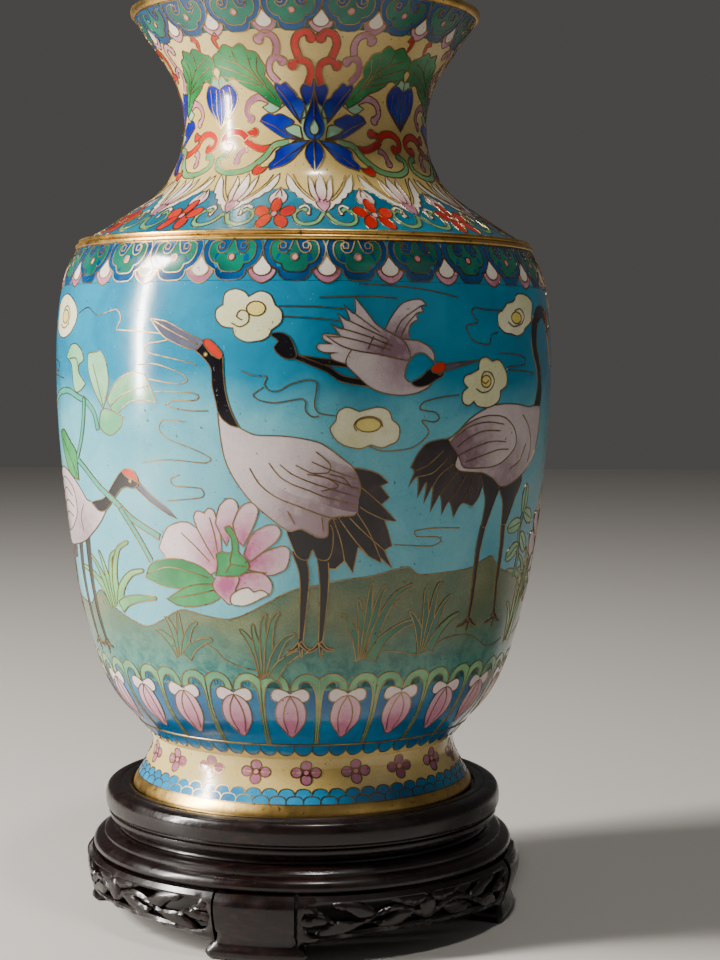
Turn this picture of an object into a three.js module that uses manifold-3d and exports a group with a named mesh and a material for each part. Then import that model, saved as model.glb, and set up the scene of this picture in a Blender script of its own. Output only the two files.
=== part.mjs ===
// Cloisonne vase on a carved hardwood stand.
// Millimetres, +Z up. The origin is the centre of the stand on the surface it rests on,
// and -Y is the front. The vase lifts straight up out of the recess in the stand.

import * as THREE from 'three';
import { mergeVertices } from 'three/addons/utils/BufferGeometryUtils.js';
import Module from 'manifold-3d';

const wasm = await Module();
wasm.setup();

// ---------------------------------------------------------------- driving dimensions
const SIDES = 30; // facets round every turned piece
const GAP = 0.3; // clearance between pieces that touch

const VASE_LEVEL = 51.5; // height of the visible lower edge of the vase's gilt foot
const LIP_Z = 304; // top of the lip above that level
const NECK_SEAM_Z = 231; // where the neck sheet meets the shoulder sheet
const SHOULDER_Z = 212.5; // middle of the gilt ring between shoulder and belly
const BELLY_SEAM_Z = 120; // where the two sheets of the belly meet
const WALL_TOP = LIP_Z - 3.4; // where copper and glass stop under the gilt lip
const WALL_BOTTOM = 3.7; // and where they stop above the gilt foot
const BORDER_WIRE_Z = 25.4; // the wire that closes the decoration of the belly
const WAIST_Z = 19; // the narrowest place, between belly and foot

const ENAMEL = 0.8; // glass coat outside
const COPPER = 1.1; // copper sheet
const LINING = 0.5; // counter-enamel inside

const LEG_COUNT = 4;
const FRONT_LEG_ANGLE = -12; // degrees from the front, positive to the right
const LEG_HALF_WIDTH = 15; // at the apron
const FOOT_HALF_WIDTH = 20; // on the floor
const LEG_DEPTH = 13;
const APRON_TOP = 25.3;
const APRON_DEPTH = 5;
const APRON_ARCH = 11.4; // lowest edge of the apron midway between two legs
const APRON_RADIUS = 86;
const DOWEL_RADIUS = 3;
const DOWEL_CIRCLE = 78;

// Outline of the enamel surface from lip to shoulder, then belly, then foot,
// as [radius, height above VASE_LEVEL].
const NECK_CURVE = outline([
  [69, LIP_Z], [64.2, 296.5], [57.4, 286.8], [51.8, 278], [48.1, 265],
  [48.4, 253], [51.2, 243.8], [57.6, 233.6], [73.6, 222.2], [87.6, SHOULDER_Z + 0.9],
]);
const BELLY_CURVE = outline([
  [89.8, SHOULDER_Z - 1.7], [95.3, 198], [98, 172], [96.4, 130],
  [89, 76.5], [78.6, 42.3], [65.2, 24.6], [60.6, WAIST_Z],
]);
const FOOT_CURVE = outline([[60.6, WAIST_Z], [60.8, 13.5], [64.4, 6.2], [67.4, 1]]);

// Every layer of the wall has its corners at these heights and at its own two ends,
// so that nested layers stay parallel.
const LEVELS = new Map([
  [NECK_CURVE, stepsDown(296, 218, 7.8)],
  [BELLY_CURVE, [...stepsDown(200, 66, 19), ...stepsDown(54, 24, 6)]],
  [FOOT_CURVE, stepsDown(14, 6, 4)],
]);

// Face of the apron and of the legs, as [radius, height above the floor].
const APRON_FACE = outline([[84.6, 25.4], [86.9, 21.5], [86.4, 16], [84.6, 10], [82.4, 5]]);
const LEG_FACE = outline([
  [85.2, 25.4], [87.6, 21.5], [87, 16], [84.8, 9], [83.8, 6.6], [85.4, 3], [84.2, -0.1],
]);

// ---------------------------------------------------------------- materials
function finish(color, roughness, metalness) {
  return () => new THREE.MeshStandardMaterial({ color, roughness, metalness });
}
const gilt = finish(0xb98a3a, 0.35, 1.0);
const copper = finish(0xb06a48, 0.45, 1.0);
const wood = finish(0x2b1512, 0.3, 0.0);
const liningGlass = finish(0x1f7fa3, 0.3, 0.0);
const tealGlass = finish(0x0f6f8c, 0.15, 0.0);
const buffGlass = finish(0xd8bf84, 0.15, 0.0);
const turquoiseGlass = finish(0x2d93a8, 0.15, 0.0);
const skyGlass = finish(0x3f9fc0, 0.15, 0.0);
const lappetGlass = finish(0x17688f, 0.15, 0.0);

// ---------------------------------------------------------------- helpers
function outline(points) {
  return new THREE.SplineCurve(points.map(([radius, z]) => new THREE.Vector2(radius, z)));
}

// The parameter of the place on a falling outline at a given height.
function parameterAtHeight(curve, z) {
  let low = 0;
  let high = 1;
  for (let i = 0; i < 40; i += 1) {
    const middle = (low + high) / 2;
    if (curve.getPoint(middle).y > z) low = middle;
    else high = middle;
  }
  return (low + high) / 2;
}

// A place on the outline moved along its outward normal.
function offsetPoint(curve, z, offset) {
  const t = parameterAtHeight(curve, z);
  const tangent = curve.getTangent(t);
  return curve.getPoint(t).add(new THREE.Vector2(-tangent.y, tangent.x).multiplyScalar(offset));
}

function stepsDown(top, bottom, pitch) {
  const count = Math.floor((top - bottom) / pitch + 1e-6);
  return Array.from({ length: count + 1 }, (_, i) => top - i * pitch);
}

function offsetRun(curve, top, bottom, offset) {
  const between = LEVELS.get(curve).filter((z) => z < top - 1.2 && z > bottom + 1.2);
  return [top, ...between, bottom].map((z) => offsetPoint(curve, z, offset));
}

// Closed section of one layer of the wall, from its outer offset inwards.
function wallSection(curve, top, bottom, outer, thickness) {
  const face = offsetRun(curve, top, bottom, outer);
  return [...face, ...offsetRun(curve, top, bottom, outer - thickness).reverse()];
}

function signedVolume(geometry) {
  const position = geometry.getAttribute('position');
  const [a, b, c] = [new THREE.Vector3(), new THREE.Vector3(), new THREE.Vector3()];
  let volume = 0;
  for (let i = 0; i < geometry.index.count; i += 3) {
    a.fromBufferAttribute(position, geometry.index.getX(i));
    b.fromBufferAttribute(position, geometry.index.getX(i + 1));
    c.fromBufferAttribute(position, geometry.index.getX(i + 2));
    volume += a.dot(b.cross(c)) / 6;
  }
  return volume;
}

// One closed body with shared vertices and its faces pointing out.
function closedBody(source) {
  source.deleteAttribute('normal');
  source.deleteAttribute('uv');
  const body = mergeVertices(source, 1e-4);
  const kept = [];
  for (let i = 0; i < body.index.count; i += 3) {
    const corners = [body.index.getX(i), body.index.getX(i + 1), body.index.getX(i + 2)];
    if (new Set(corners).size === 3) kept.push(...corners);
  }
  body.setIndex(kept);
  if (signedVolume(body) < 0) {
    for (let i = 0; i < kept.length; i += 3) [kept[i], kept[i + 1]] = [kept[i + 1], kept[i]];
    body.setIndex(kept);
  }
  body.computeVertexNormals();
  return body;
}

// A turned piece. A section that doesn't touch the axis is closed on itself.
function turned(section) {
  const points = section.map((point) => (point.isVector2 ? point : new THREE.Vector2(...point)));
  const onAxis = points[0].x === 0;
  if (!onAxis) points.push(points[0].clone());
  const lathe = new THREE.LatheGeometry(points, SIDES);
  lathe.rotateX(Math.PI / 2);
  return closedBody(lathe);
}

function toSolid(geometry) {
  const vertProperties = new Float32Array(geometry.getAttribute('position').array);
  const triVerts = new Uint32Array(geometry.index.array);
  return new wasm.Manifold(new wasm.Mesh({ numProp: 3, vertProperties, triVerts }));
}

function fromSolid(solid) {
  const mesh = solid.getMesh();
  const geometry = new THREE.BufferGeometry();
  geometry.setAttribute('position', new THREE.BufferAttribute(mesh.vertProperties, 3));
  geometry.setIndex(new THREE.BufferAttribute(mesh.triVerts, 1));
  geometry.computeVertexNormals();
  return geometry;
}

// Section of a ring with a curved face and a straight back.
function ringSection(face, top, bottom, depth) {
  const front = [];
  for (let i = 0; i <= 6; i += 1) {
    const z = top + ((bottom - top) * i) / 6;
    front.push(new THREE.Vector2(face.getPoint(parameterAtHeight(face, z)).x, z));
  }
  const back = APRON_RADIUS - depth;
  return [...front, new THREE.Vector2(back, bottom), new THREE.Vector2(back, top)];
}

// Part of a turned ring, cut out by a front outline: x to the right, y up.
// The outline is sawn straight through at the front of the ring.
function sawnFromRing(face, bottom, depth, shape) {
  const ring = turned(ringSection(face, APRON_TOP, bottom, depth));
  const depthOfCut = 2 * APRON_RADIUS;
  const saw = new THREE.ExtrudeGeometry(shape, { depth: depthOfCut, bevelEnabled: false, curveSegments: 4 });
  saw.rotateX(Math.PI / 2);
  return toSolid(ring).intersect(toSolid(closedBody(saw)));
}

function named(name, geometry, material) {
  const mesh = new THREE.Mesh(geometry, material());
  mesh.name = name;
  return mesh;
}

// ---------------------------------------------------------------- vase: copper body
const COPPER_OUT = -(ENAMEL + GAP);
const COPPER_IN = COPPER_OUT - COPPER;

function neckShell() {
  return turned(wallSection(NECK_CURVE, WALL_TOP, NECK_SEAM_Z + GAP / 2, COPPER_OUT, COPPER));
}

function shoulderShell() {
  return turned(wallSection(NECK_CURVE, NECK_SEAM_Z - GAP / 2, SHOULDER_Z + 2.2, COPPER_OUT, COPPER));
}

function upperBellyShell() {
  return turned(wallSection(BELLY_CURVE, SHOULDER_Z - 3.4, BELLY_SEAM_Z + GAP / 2, COPPER_OUT, COPPER));
}

function lowerBellyShell() {
  return turned(wallSection(BELLY_CURVE, BELLY_SEAM_Z - GAP / 2, WAIST_Z + 1.8, COPPER_OUT, COPPER));
}

function footShell() {
  return turned(wallSection(FOOT_CURVE, WAIST_Z - 1.1, WALL_BOTTOM, COPPER_OUT, COPPER));
}

function basePlate() {
  const edge = 59.2;
  return turned([[0, WAIST_Z - 0.6], [edge, WAIST_Z - 0.6], [edge, WAIST_Z + 0.6], [0, WAIST_Z + 0.6]]);
}

// ---------------------------------------------------------------- vase: gilt rings
function rimRing() {
  const z = LIP_Z;
  return turned([
    [64.6, z - 1.6], [67.7, z - 2.9], [69, z - 1.8], [68.9, z - 0.2], [67.6, z + 0.4], [65.3, z],
  ]);
}

// Two beads side by side, lying in the corner between shoulder and belly.
function shoulderRing() {
  const z = SHOULDER_Z;
  return turned([
    [88.9, z - 2], [90.1, z - 2], [90.5, z - 1.1], [89.8, z - 0.2], [90, z + 0.7],
    [89.1, z + 1.6], [87.8, z + 1.9], [86.7, z + 1.6], [87.1, z + 0.7], [88.7, z - 0.7],
  ]);
}

function footRing() {
  return turned([[63.1, 2.1], [65.7, 2.9], [67.4, 1], [68.2, -0.6], [68.1, -2], [63.5, -2]]);
}

function bellyWire() {
  return turned(wallSection(BELLY_CURVE, BORDER_WIRE_Z + 0.25, BORDER_WIRE_Z - 0.25, 0.1, ENAMEL));
}

// ---------------------------------------------------------------- vase: glass
// Each field is one register of the decoration. Neighbours keep GAP between them.
function field(curve, top, bottom) {
  return turned(wallSection(curve, top - GAP / 2, bottom + GAP / 2, 0, ENAMEL));
}

// The inside coat is one cup, from the middle of the floor up to the lip.
function insideLining() {
  const outer = COPPER_IN - GAP;
  const inner = outer - LINING;
  const floor = WAIST_Z + 0.6 + GAP;
  const wallAt = (offset) => [
    ...offsetRun(BELLY_CURVE, SHOULDER_Z - 3.4, WAIST_Z + 1.8, offset).reverse(),
    ...offsetRun(NECK_CURVE, WALL_TOP, SHOULDER_Z + 4, offset).reverse(),
  ];
  const outside = [new THREE.Vector2(0, floor), new THREE.Vector2(57.3, floor), ...wallAt(outer)];
  const top = floor + LINING;
  const inside = [new THREE.Vector2(0, top), new THREE.Vector2(57, top), ...wallAt(inner)];
  return turned([...outside, ...inside.reverse()]);
}

function baseGlass() {
  const top = WAIST_Z - 0.6 - GAP;
  return turned([[0, top - LINING], [56.8, top - LINING], [56.8, top], [0, top]]);
}

// ---------------------------------------------------------------- stand
const SEAT_TOP = VASE_LEVEL - 0.5;
const RECESS_FLOOR = VASE_LEVEL - 2 - GAP;
const SEAT_BOTTOM = 38;
const WAIST_BOTTOM = 34.4;
const MOULDING_BOTTOM = APRON_TOP + GAP;

function seatBoard() {
  return turned([
    [0, SEAT_BOTTOM], [73.5, SEAT_BOTTOM], [77.4, 38.3], [77.9, 39.6], [76.9, 41],
    [79, 42.2], [79.2, 47.4], [78, 49.9], [74.6, 50.9], [70.3, SEAT_TOP],
    [69.4, 50.4], [69.3, RECESS_FLOOR], [0, RECESS_FLOOR],
  ]);
}

function waistRing() {
  const top = SEAT_BOTTOM - GAP;
  return turned([[60, top], [74.2, top], [73.4, 36], [74.4, WAIST_BOTTOM], [60, WAIST_BOTTOM]]);
}

function mouldingRing() {
  return turned([
    [56, WAIST_BOTTOM - GAP], [76.5, WAIST_BOTTOM - GAP], [79.6, 32.6], [80.2, 31],
    [82.9, 29.8], [83.9, 28.2], [83.6, 26.4], [82.2, MOULDING_BOTTOM], [56, MOULDING_BOTTOM],
  ]);
}

function legAngle(index) {
  return ((FRONT_LEG_ANGLE + (360 / LEG_COUNT) * index) * Math.PI) / 180;
}

// A straight peg or the slightly wider hole that it sits in.
function peg(radius, bottom, top) {
  const body = new THREE.CylinderGeometry(radius, radius, top - bottom, 10);
  body.rotateX(Math.PI / 2);
  body.translate(0, -DOWEL_CIRCLE, (top + bottom) / 2);
  return closedBody(body);
}

const PEG_BOTTOM = 17;
const PEG_TOP = 31;

function pegHole() {
  return peg(DOWEL_RADIUS + GAP, PEG_BOTTOM - GAP, PEG_TOP + GAP);
}

function drilledMoulding() {
  let solid = toSolid(mouldingRing());
  for (let i = 0; i < LEG_COUNT; i += 1) {
    const hole = pegHole();
    hole.rotateZ(legAngle(i));
    solid = solid.subtract(toSolid(hole));
  }
  return fromSolid(solid);
}

// A leg stands upright at the apron and spreads into a curled foot on the floor.
function leg() {
  const half = LEG_HALF_WIDTH;
  const shape = new THREE.Shape();
  shape.moveTo(-half, APRON_TOP + 1);
  shape.lineTo(-half, 10.5);
  shape.quadraticCurveTo(-half - 0.5, 6, -FOOT_HALF_WIDTH + 1.5, 4.2);
  shape.quadraticCurveTo(-FOOT_HALF_WIDTH - 1, 2, -FOOT_HALF_WIDTH, -1);
  shape.lineTo(FOOT_HALF_WIDTH, -1);
  shape.quadraticCurveTo(FOOT_HALF_WIDTH + 1, 2, FOOT_HALF_WIDTH - 1.5, 4.2);
  shape.quadraticCurveTo(half + 0.5, 6, half, 10.5);
  shape.lineTo(half, APRON_TOP + 1);
  return fromSolid(sawnFromRing(LEG_FACE, 0, LEG_DEPTH, shape).subtract(toSolid(pegHole())));
}

// Holes of the openwork in the right half of a panel: each is a curled drop between
// the stems of the scroll, as [x, z, half length, half height, tilt in degrees].
const OPENWORK = [
  [7, 20.2, 6, 1.5, -8], [7.5, 14.9, 4.6, 1.3, 10], [19, 16.2, 3.6, 2.2, 40],
  [21, 21.2, 6, 1.3, 4], [30, 15.8, 4.8, 1.5, -24], [36.5, 20.3, 4, 1.5, 20],
];

function dropHole(x, z, length, height, tilt) {
  const turn = (tilt * Math.PI) / 180;
  const corners = [[-1, 0], [-0.45, 0.75], [0.35, 1], [1, 0.25], [0.7, -0.6], [-0.2, -0.8]];
  const points = corners.map(([u, v]) => new THREE.Vector2(
    x + u * length * Math.cos(turn) - v * height * Math.sin(turn),
    z + u * length * Math.sin(turn) + v * height * Math.cos(turn),
  ));
  return new THREE.Path(points);
}

// The apron between two legs: an arched lower edge and a pierced scroll. Its ends
// follow the sides of the two legs, which stand a quarter turn apart.
function apronPanel() {
  const halfPitch = Math.PI / LEG_COUNT;
  const end = (radius) => {
    const across = LEG_HALF_WIDTH + GAP;
    const along = Math.sqrt(radius ** 2 - across ** 2);
    return along * Math.sin(halfPitch) - across * Math.cos(halfPitch);
  };
  const outerEnd = end(APRON_RADIUS + 2);
  const shape = new THREE.Shape();
  const steps = 10;
  shape.moveTo(-outerEnd, APRON_TOP + 1);
  for (let i = 0; i <= steps; i += 1) {
    const u = (2 * i) / steps - 1;
    shape.lineTo(outerEnd * u, APRON_ARCH - 1.6 * Math.abs(u) ** 4);
  }
  shape.lineTo(outerEnd, APRON_TOP + 1);
  for (const side of [-1, 1]) {
    for (const [x, z, length, height, tilt] of OPENWORK) {
      shape.holes.push(dropHole(side * x, z, side * length, height, side * tilt));
    }
  }
  let solid = sawnFromRing(APRON_FACE, APRON_ARCH - 3, APRON_DEPTH, shape);
  for (const side of [-1, 1]) {
    const room = new THREE.BoxGeometry(2 * (LEG_HALF_WIDTH + GAP), 4 * APRON_RADIUS, 4 * APRON_TOP);
    room.translate(0, -2 * APRON_RADIUS, 0);
    room.rotateZ(side * halfPitch);
    solid = solid.subtract(toSolid(closedBody(room)));
  }
  return fromSolid(solid);
}

// ---------------------------------------------------------------- assembly
const vase = new THREE.Group();
vase.position.z = VASE_LEVEL;
vase.add(named('neck_shell', neckShell(), copper));
vase.add(named('shoulder_shell', shoulderShell(), copper));
vase.add(named('upper_belly_shell', upperBellyShell(), copper));
vase.add(named('lower_belly_shell', lowerBellyShell(), copper));
vase.add(named('foot_shell', footShell(), copper));
vase.add(named('base_plate', basePlate(), copper));
vase.add(named('rim_ring', rimRing(), gilt));
vase.add(named('shoulder_ring', shoulderRing(), gilt));
vase.add(named('foot_ring', footRing(), gilt));
vase.add(named('belly_border_wire', bellyWire(), gilt));
vase.add(named('rim_border_enamel', field(NECK_CURVE, WALL_TOP + GAP / 2, 288.8), tealGlass));
vase.add(named('neck_enamel', field(NECK_CURVE, 288.8, NECK_SEAM_Z), buffGlass));
vase.add(named('shoulder_enamel', field(NECK_CURVE, NECK_SEAM_Z, SHOULDER_Z + 2.5), turquoiseGlass));
vase.add(named('ruyi_border_enamel', field(BELLY_CURVE, SHOULDER_Z - 2.5, 196), tealGlass));
vase.add(named('landscape_enamel', field(BELLY_CURVE, 196, 54), skyGlass));
vase.add(named('lappet_enamel', field(BELLY_CURVE, 54, BORDER_WIRE_Z + 0.35), lappetGlass));
vase.add(named('waist_scallop_enamel', field(BELLY_CURVE, BORDER_WIRE_Z - 0.35, WAIST_Z + 0.2), tealGlass));
vase.add(named('foot_enamel', field(FOOT_CURVE, WAIST_Z, WALL_BOTTOM), buffGlass));
vase.add(named('inside_lining', insideLining(), liningGlass));
vase.add(named('base_enamel', baseGlass(), liningGlass));

const stand = new THREE.Group();
stand.add(named('seat_board', seatBoard(), wood));
stand.add(named('waist_ring', waistRing(), wood));
stand.add(named('moulding_ring', drilledMoulding(), wood));
for (let i = 0; i < LEG_COUNT; i += 1) {
  const legMesh = named(`leg_${i + 1}`, leg(), wood);
  legMesh.rotation.z = legAngle(i);
  const pegMesh = named(`leg_peg_${i + 1}`, peg(DOWEL_RADIUS, PEG_BOTTOM, PEG_TOP), wood);
  pegMesh.rotation.z = legAngle(i);
  const panelMesh = named(`apron_panel_${i + 1}`, apronPanel(), wood);
  panelMesh.rotation.z = legAngle(i + 0.5);
  stand.add(legMesh, pegMesh, panelMesh);
}

const assembly = new THREE.Group();
assembly.add(stand, vase);

export default assembly;
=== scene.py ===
import math

import bmesh
import bpy
from mathutils import Matrix, Vector
from mathutils.geometry import delaunay_2d_cdt


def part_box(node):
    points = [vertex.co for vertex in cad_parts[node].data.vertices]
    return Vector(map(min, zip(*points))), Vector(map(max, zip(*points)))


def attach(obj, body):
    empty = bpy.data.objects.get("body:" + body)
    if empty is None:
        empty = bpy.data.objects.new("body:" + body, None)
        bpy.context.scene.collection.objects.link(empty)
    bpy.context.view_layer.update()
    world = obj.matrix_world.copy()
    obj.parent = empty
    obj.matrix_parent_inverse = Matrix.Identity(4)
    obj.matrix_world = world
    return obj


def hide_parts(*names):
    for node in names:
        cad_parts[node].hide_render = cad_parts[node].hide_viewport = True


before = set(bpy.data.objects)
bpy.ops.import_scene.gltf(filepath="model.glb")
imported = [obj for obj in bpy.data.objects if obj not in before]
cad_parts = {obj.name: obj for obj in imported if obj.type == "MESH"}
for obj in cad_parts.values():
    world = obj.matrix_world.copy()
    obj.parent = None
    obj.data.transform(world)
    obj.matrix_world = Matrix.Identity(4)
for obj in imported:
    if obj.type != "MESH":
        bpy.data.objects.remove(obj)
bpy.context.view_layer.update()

MM = 0.001

# ---------------------------------------------------------------- camera
# A little above the middle of the vase, looking slightly down at it and slightly past
# its right side, so that the axis stands left of centre.
FRONT_DISTANCE = 0.774
EYE_HEIGHT = 0.2214
LOOK_DOWN = math.radians(3.7)
LOOK_RIGHT = math.radians(1.66)
ROLL = math.radians(0.3)
LENS = 72.4
SENSOR = 36

camera_data = bpy.data.cameras.new("camera")
camera_data.lens = LENS
camera_data.sensor_width = SENSOR
camera = bpy.data.objects.new("camera", camera_data)
bpy.context.scene.collection.objects.link(camera)
aim = Matrix.Rotation(-LOOK_RIGHT, 4, "Z") @ Matrix.Rotation(math.radians(90) - LOOK_DOWN, 4, "X")
eye = Matrix.Translation((0, -FRONT_DISTANCE, EYE_HEIGHT))
camera.matrix_world = eye @ aim @ Matrix.Rotation(ROLL, 4, "Z")
bpy.context.scene.camera = camera

# ---------------------------------------------------------------- floor and studio light
# A pale sheet under the stand, a tall narrow lamp on the left, where the glass takes its
# long highlight from, a lamp above it, a small one overhead, and a weak fill on the right.
FLOOR_SIZE = 6.0


def placed(name, data):
    """A new object in the scene."""
    piece = bpy.data.objects.new(name, data)
    bpy.context.scene.collection.objects.link(piece)
    return piece


def plain_material(name, colour, roughness):
    material = bpy.data.materials.new(name)
    material.use_nodes = True
    shader = material.node_tree.nodes["Principled BSDF"]
    shader.inputs["Base Color"].default_value = (*colour, 1)
    shader.inputs["Roughness"].default_value = roughness
    return material


def soft_lamp(name, place, size, watts, tint, target=(0, 0, 0.18)):
    data = bpy.data.lights.new(name, "AREA")
    data.shape = "RECTANGLE"
    data.size, data.size_y = size
    data.energy = watts
    data.color = tint
    lamp = bpy.data.objects.new(name, data)
    facing = (Vector(place) - Vector(target)).to_track_quat("Z", "Y")
    lamp.matrix_world = Matrix.Translation(place) @ facing.to_matrix().to_4x4()
    bpy.context.scene.collection.objects.link(lamp)


bpy.ops.object.select_all(action="DESELECT")
bpy.ops.mesh.primitive_plane_add(size=FLOOR_SIZE, location=(0, 0, 0))
floor = bpy.context.object
floor.name = "floor"
floor.data.materials.append(plain_material("pale_floor", (0.50, 0.475, 0.445), 0.6))

soft_lamp("window_left", (-0.97, -0.25, 0.42), (0.06, 0.56), 21, (1.0, 0.96, 0.90), (0, 0, 0.2))
soft_lamp("sky_left", (-1.45, -0.24, 1.2), (0.34, 0.34), 50, (1.0, 0.97, 0.93))
soft_lamp("ceiling", (0.15, -0.45, 1.7), (0.14, 0.14), 8.5, (1.0, 0.97, 0.92), (0, 0, 0.1))
soft_lamp("fill_right", (1.2, -1.1, 0.9), (1.2, 1.2), 0.8, (0.95, 0.97, 1.0))

world = bpy.data.worlds.new("studio")
bpy.context.scene.world = world
world.use_nodes = True
world.node_tree.nodes["Background"].inputs["Color"].default_value = (0.72, 0.70, 0.68, 1)
world.node_tree.nodes["Background"].inputs["Strength"].default_value = 0.1

# ---------------------------------------------------------------- outline of the vase
# The polished glass surface from lip to shoulder, over the belly and down the foot,
# as [radius, height] in millimetres above a level just over the edge of the gilt foot.
FOOT_EDGE = 2.0
FOOT_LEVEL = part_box("foot_ring")[0][2] / MM + FOOT_EDGE
LIP_Z = 304
SHOULDER_Z = 212.5
WAIST_Z = 19


def outline_table(points, samples=60):
    """Heights and radii of a smooth falling outline through a few points."""
    last = len(points) - 1
    table = []
    for step in range(last * samples + 1):
        i = min(step // samples, last - 1)
        w = step / samples - i
        p0, p1, p2, p3 = (points[max(0, min(last, i + k))] for k in (-1, 0, 1, 2))
        place = []
        for a in (0, 1):
            v0 = (p2[a] - p0[a]) / 2
            v1 = (p3[a] - p1[a]) / 2
            cubic = 2 * p1[a] - 2 * p2[a] + v0 + v1
            square = 3 * p2[a] - 3 * p1[a] - 2 * v0 - v1
            place.append(cubic * w**3 + square * w**2 + v0 * w + p1[a])
        table.append(tuple(place))
    return table[::-1]


class Wall:
    """One stretch of the wall; x runs round it in millimetres at a reference radius."""

    def __init__(self, points, reference):
        self.table = outline_table(points)
        self.reference = reference

    def place(self, z):
        """Radius and outward slope of the wall at height z."""
        low, high = 0, len(self.table) - 1
        while high - low > 1:
            middle = (low + high) // 2
            if self.table[middle][1] <= z:
                low = middle
            else:
                high = middle
        (r0, z0), (r1, z1) = self.table[low], self.table[high]
        radius = r0 + (r1 - r0) * (z - z0) / (z1 - z0)
        length = math.hypot(r1 - r0, z1 - z0)
        return radius, (z1 - z0) / length, -(r1 - r0) / length

    def point(self, x, z, lift=0.0):
        """Position and normal, in metres, of a place on the wall."""
        radius, out, up = self.place(z)
        angle = x / self.reference
        side, front = math.sin(angle), -math.cos(angle)
        r = (radius + out * lift) * MM
        return Vector((r * side, r * front, (FOOT_LEVEL + z + up * lift) * MM)), Vector((out * side,
            out * front, up))

    def section(self, top, bottom, pitch, lift):
        count = max(1, round((top - bottom) / pitch))
        places = []
        for i in range(count + 1):
            z = top + (bottom - top) * i / count
            radius, out, up = self.place(z)
            places.append((radius + out * lift, z + up * lift))
        return places


NECK_OUTLINE = [
    (69, LIP_Z), (64.2, 296.5), (57.4, 286.8), (51.8, 278), (48.1, 265),
    (48.4, 253), (51.2, 243.8), (57.6, 233.6), (73.6, 222.2), (87.6, SHOULDER_Z + 0.9),
]
neck_wall = Wall(NECK_OUTLINE, 50)
shoulder_wall = Wall(NECK_OUTLINE, 75)
belly_wall = Wall([
    (89.8, SHOULDER_Z - 1.7), (95.3, 198), (98, 172), (96.4, 130),
    (89, 76.5), (78.6, 42.3), (65.2, 24.6), (60.6, WAIST_Z),
], 96)
foot_wall = Wall([(60.6, WAIST_Z), (60.8, 13.5), (64.4, 6.2), (67.4, 1)], 62)


# ---------------------------------------------------------------- turned pieces
# Copper, gilt rings and the ground coats of glass are all turned: a closed section
# spun round the axis.
def turned(name, section, steps=180):
    """A section in millimetres above the foot's level, spun into a closed ring."""
    mesh = bpy.data.meshes.new(name)
    shape = bmesh.new()
    rings = []
    for r, z in section:
        if r == 0:
            rings.append([shape.verts.new((0, 0, (FOOT_LEVEL + z) * MM))] * steps)
            continue
        turns = (math.tau * i / steps for i in range(steps))
        rings.append([shape.verts.new((r * MM * math.cos(a), r * MM * math.sin(a), (FOOT_LEVEL + z) * MM))
            for a in turns])
    for i, upper in enumerate(rings):
        lower = rings[(i + 1) % len(rings)]
        for k in range(steps):
            corners = [upper[k - 1], upper[k], lower[k], lower[k - 1]]
            corners = [v for n, v in enumerate(corners) if v not in corners[:n]]
            if len(corners) > 2:
                shape.faces.new(corners)
    bmesh.ops.recalc_face_normals(shape, faces=shape.faces)
    shape.to_mesh(mesh)
    shape.free()
    piece = placed(name, mesh)
    bpy.ops.object.select_all(action="DESELECT")
    bpy.context.view_layer.objects.active = piece
    piece.select_set(True)
    bpy.ops.object.shade_smooth_by_angle(angle=math.radians(38))
    return piece


def arc(centre, radius, start, end, count):
    """Places on a circular arc, angles in degrees from +r towards +z."""
    places = []
    for i in range(count + 1):
        a = math.radians(start + (end - start) * i / count)
        places.append((centre[0] + radius * math.cos(a), centre[1] + radius * math.sin(a)))
    return places


def finished(piece, material, body, slot, *replaced):
    piece.data.materials.clear()
    piece.data.materials.append(material)
    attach(piece, body)
    if replaced:
        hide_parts(*replaced)


# ---------------------------------------------------------------- copper body
# Five beaten and turned copper shells with a plate across the foot. They carry the
# glass and are hidden by it, with their joints under the belly and behind the rings.
ENAMEL = 0.8
COPPER = 1.1


def node_span(node):
    """Lowest and highest level of a CAD node, in millimetres above the foot's level."""
    low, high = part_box(node)
    return low[2] / MM - FOOT_LEVEL, high[2] / MM - FOOT_LEVEL


def node_reach(node):
    low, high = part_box(node)
    return max(high[0], high[1], -low[0], -low[1]) / MM


def skin(wall, top, bottom, outer, inner, pitch=2.0):
    """Section of a coat between two depths under the polished surface."""
    return wall.section(top, bottom, pitch, outer) + wall.section(top, bottom, pitch, inner)[::-1]


def noise(tree, scale, detail=4.0, rough=0.55, warp=0.0):
    coordinates = tree.nodes.new("ShaderNodeTexCoord")
    texture = tree.nodes.new("ShaderNodeTexNoise")
    texture.inputs["Scale"].default_value = scale
    texture.inputs["Detail"].default_value = detail
    texture.inputs["Roughness"].default_value = rough
    texture.inputs["Distortion"].default_value = warp
    tree.links.new(coordinates.outputs["Object"], texture.inputs["Vector"])
    return texture.outputs["Fac"]


def ramp(tree, value, *stops):
    """Colours (or greys) along a value."""
    node = tree.nodes.new("ShaderNodeValToRGB")
    elements = node.color_ramp.elements
    while len(elements) < len(stops):
        elements.new(0.5)
    for element, (at, colour) in zip(elements, stops):
        element.position = at
        element.color = (*colour, 1) if isinstance(colour, tuple) else (colour, colour, colour, 1)
    tree.links.new(value, node.inputs["Fac"])
    return node.outputs["Color"]


def blend(tree, factor, first, second, kind="MIX"):
    node = tree.nodes.new("ShaderNodeMix")
    node.data_type = "RGBA"
    node.blend_type = kind
    for socket, value in ((0, factor), (6, first), (7, second)):
        if isinstance(value, (tuple, float, int)):
            node.inputs[socket].default_value = (*value, 1) if isinstance(value, tuple) else value
        else:
            tree.links.new(value, node.inputs[socket])
    return node.outputs[2]


def relief(tree, value, depth, strength=1.0, under=None):
    node = tree.nodes.new("ShaderNodeBump")
    node.inputs["Distance"].default_value = depth
    node.inputs["Strength"].default_value = strength
    tree.links.new(value, node.inputs["Height"])
    if under:
        tree.links.new(under, node.inputs["Normal"])
    return node.outputs["Normal"]


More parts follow.
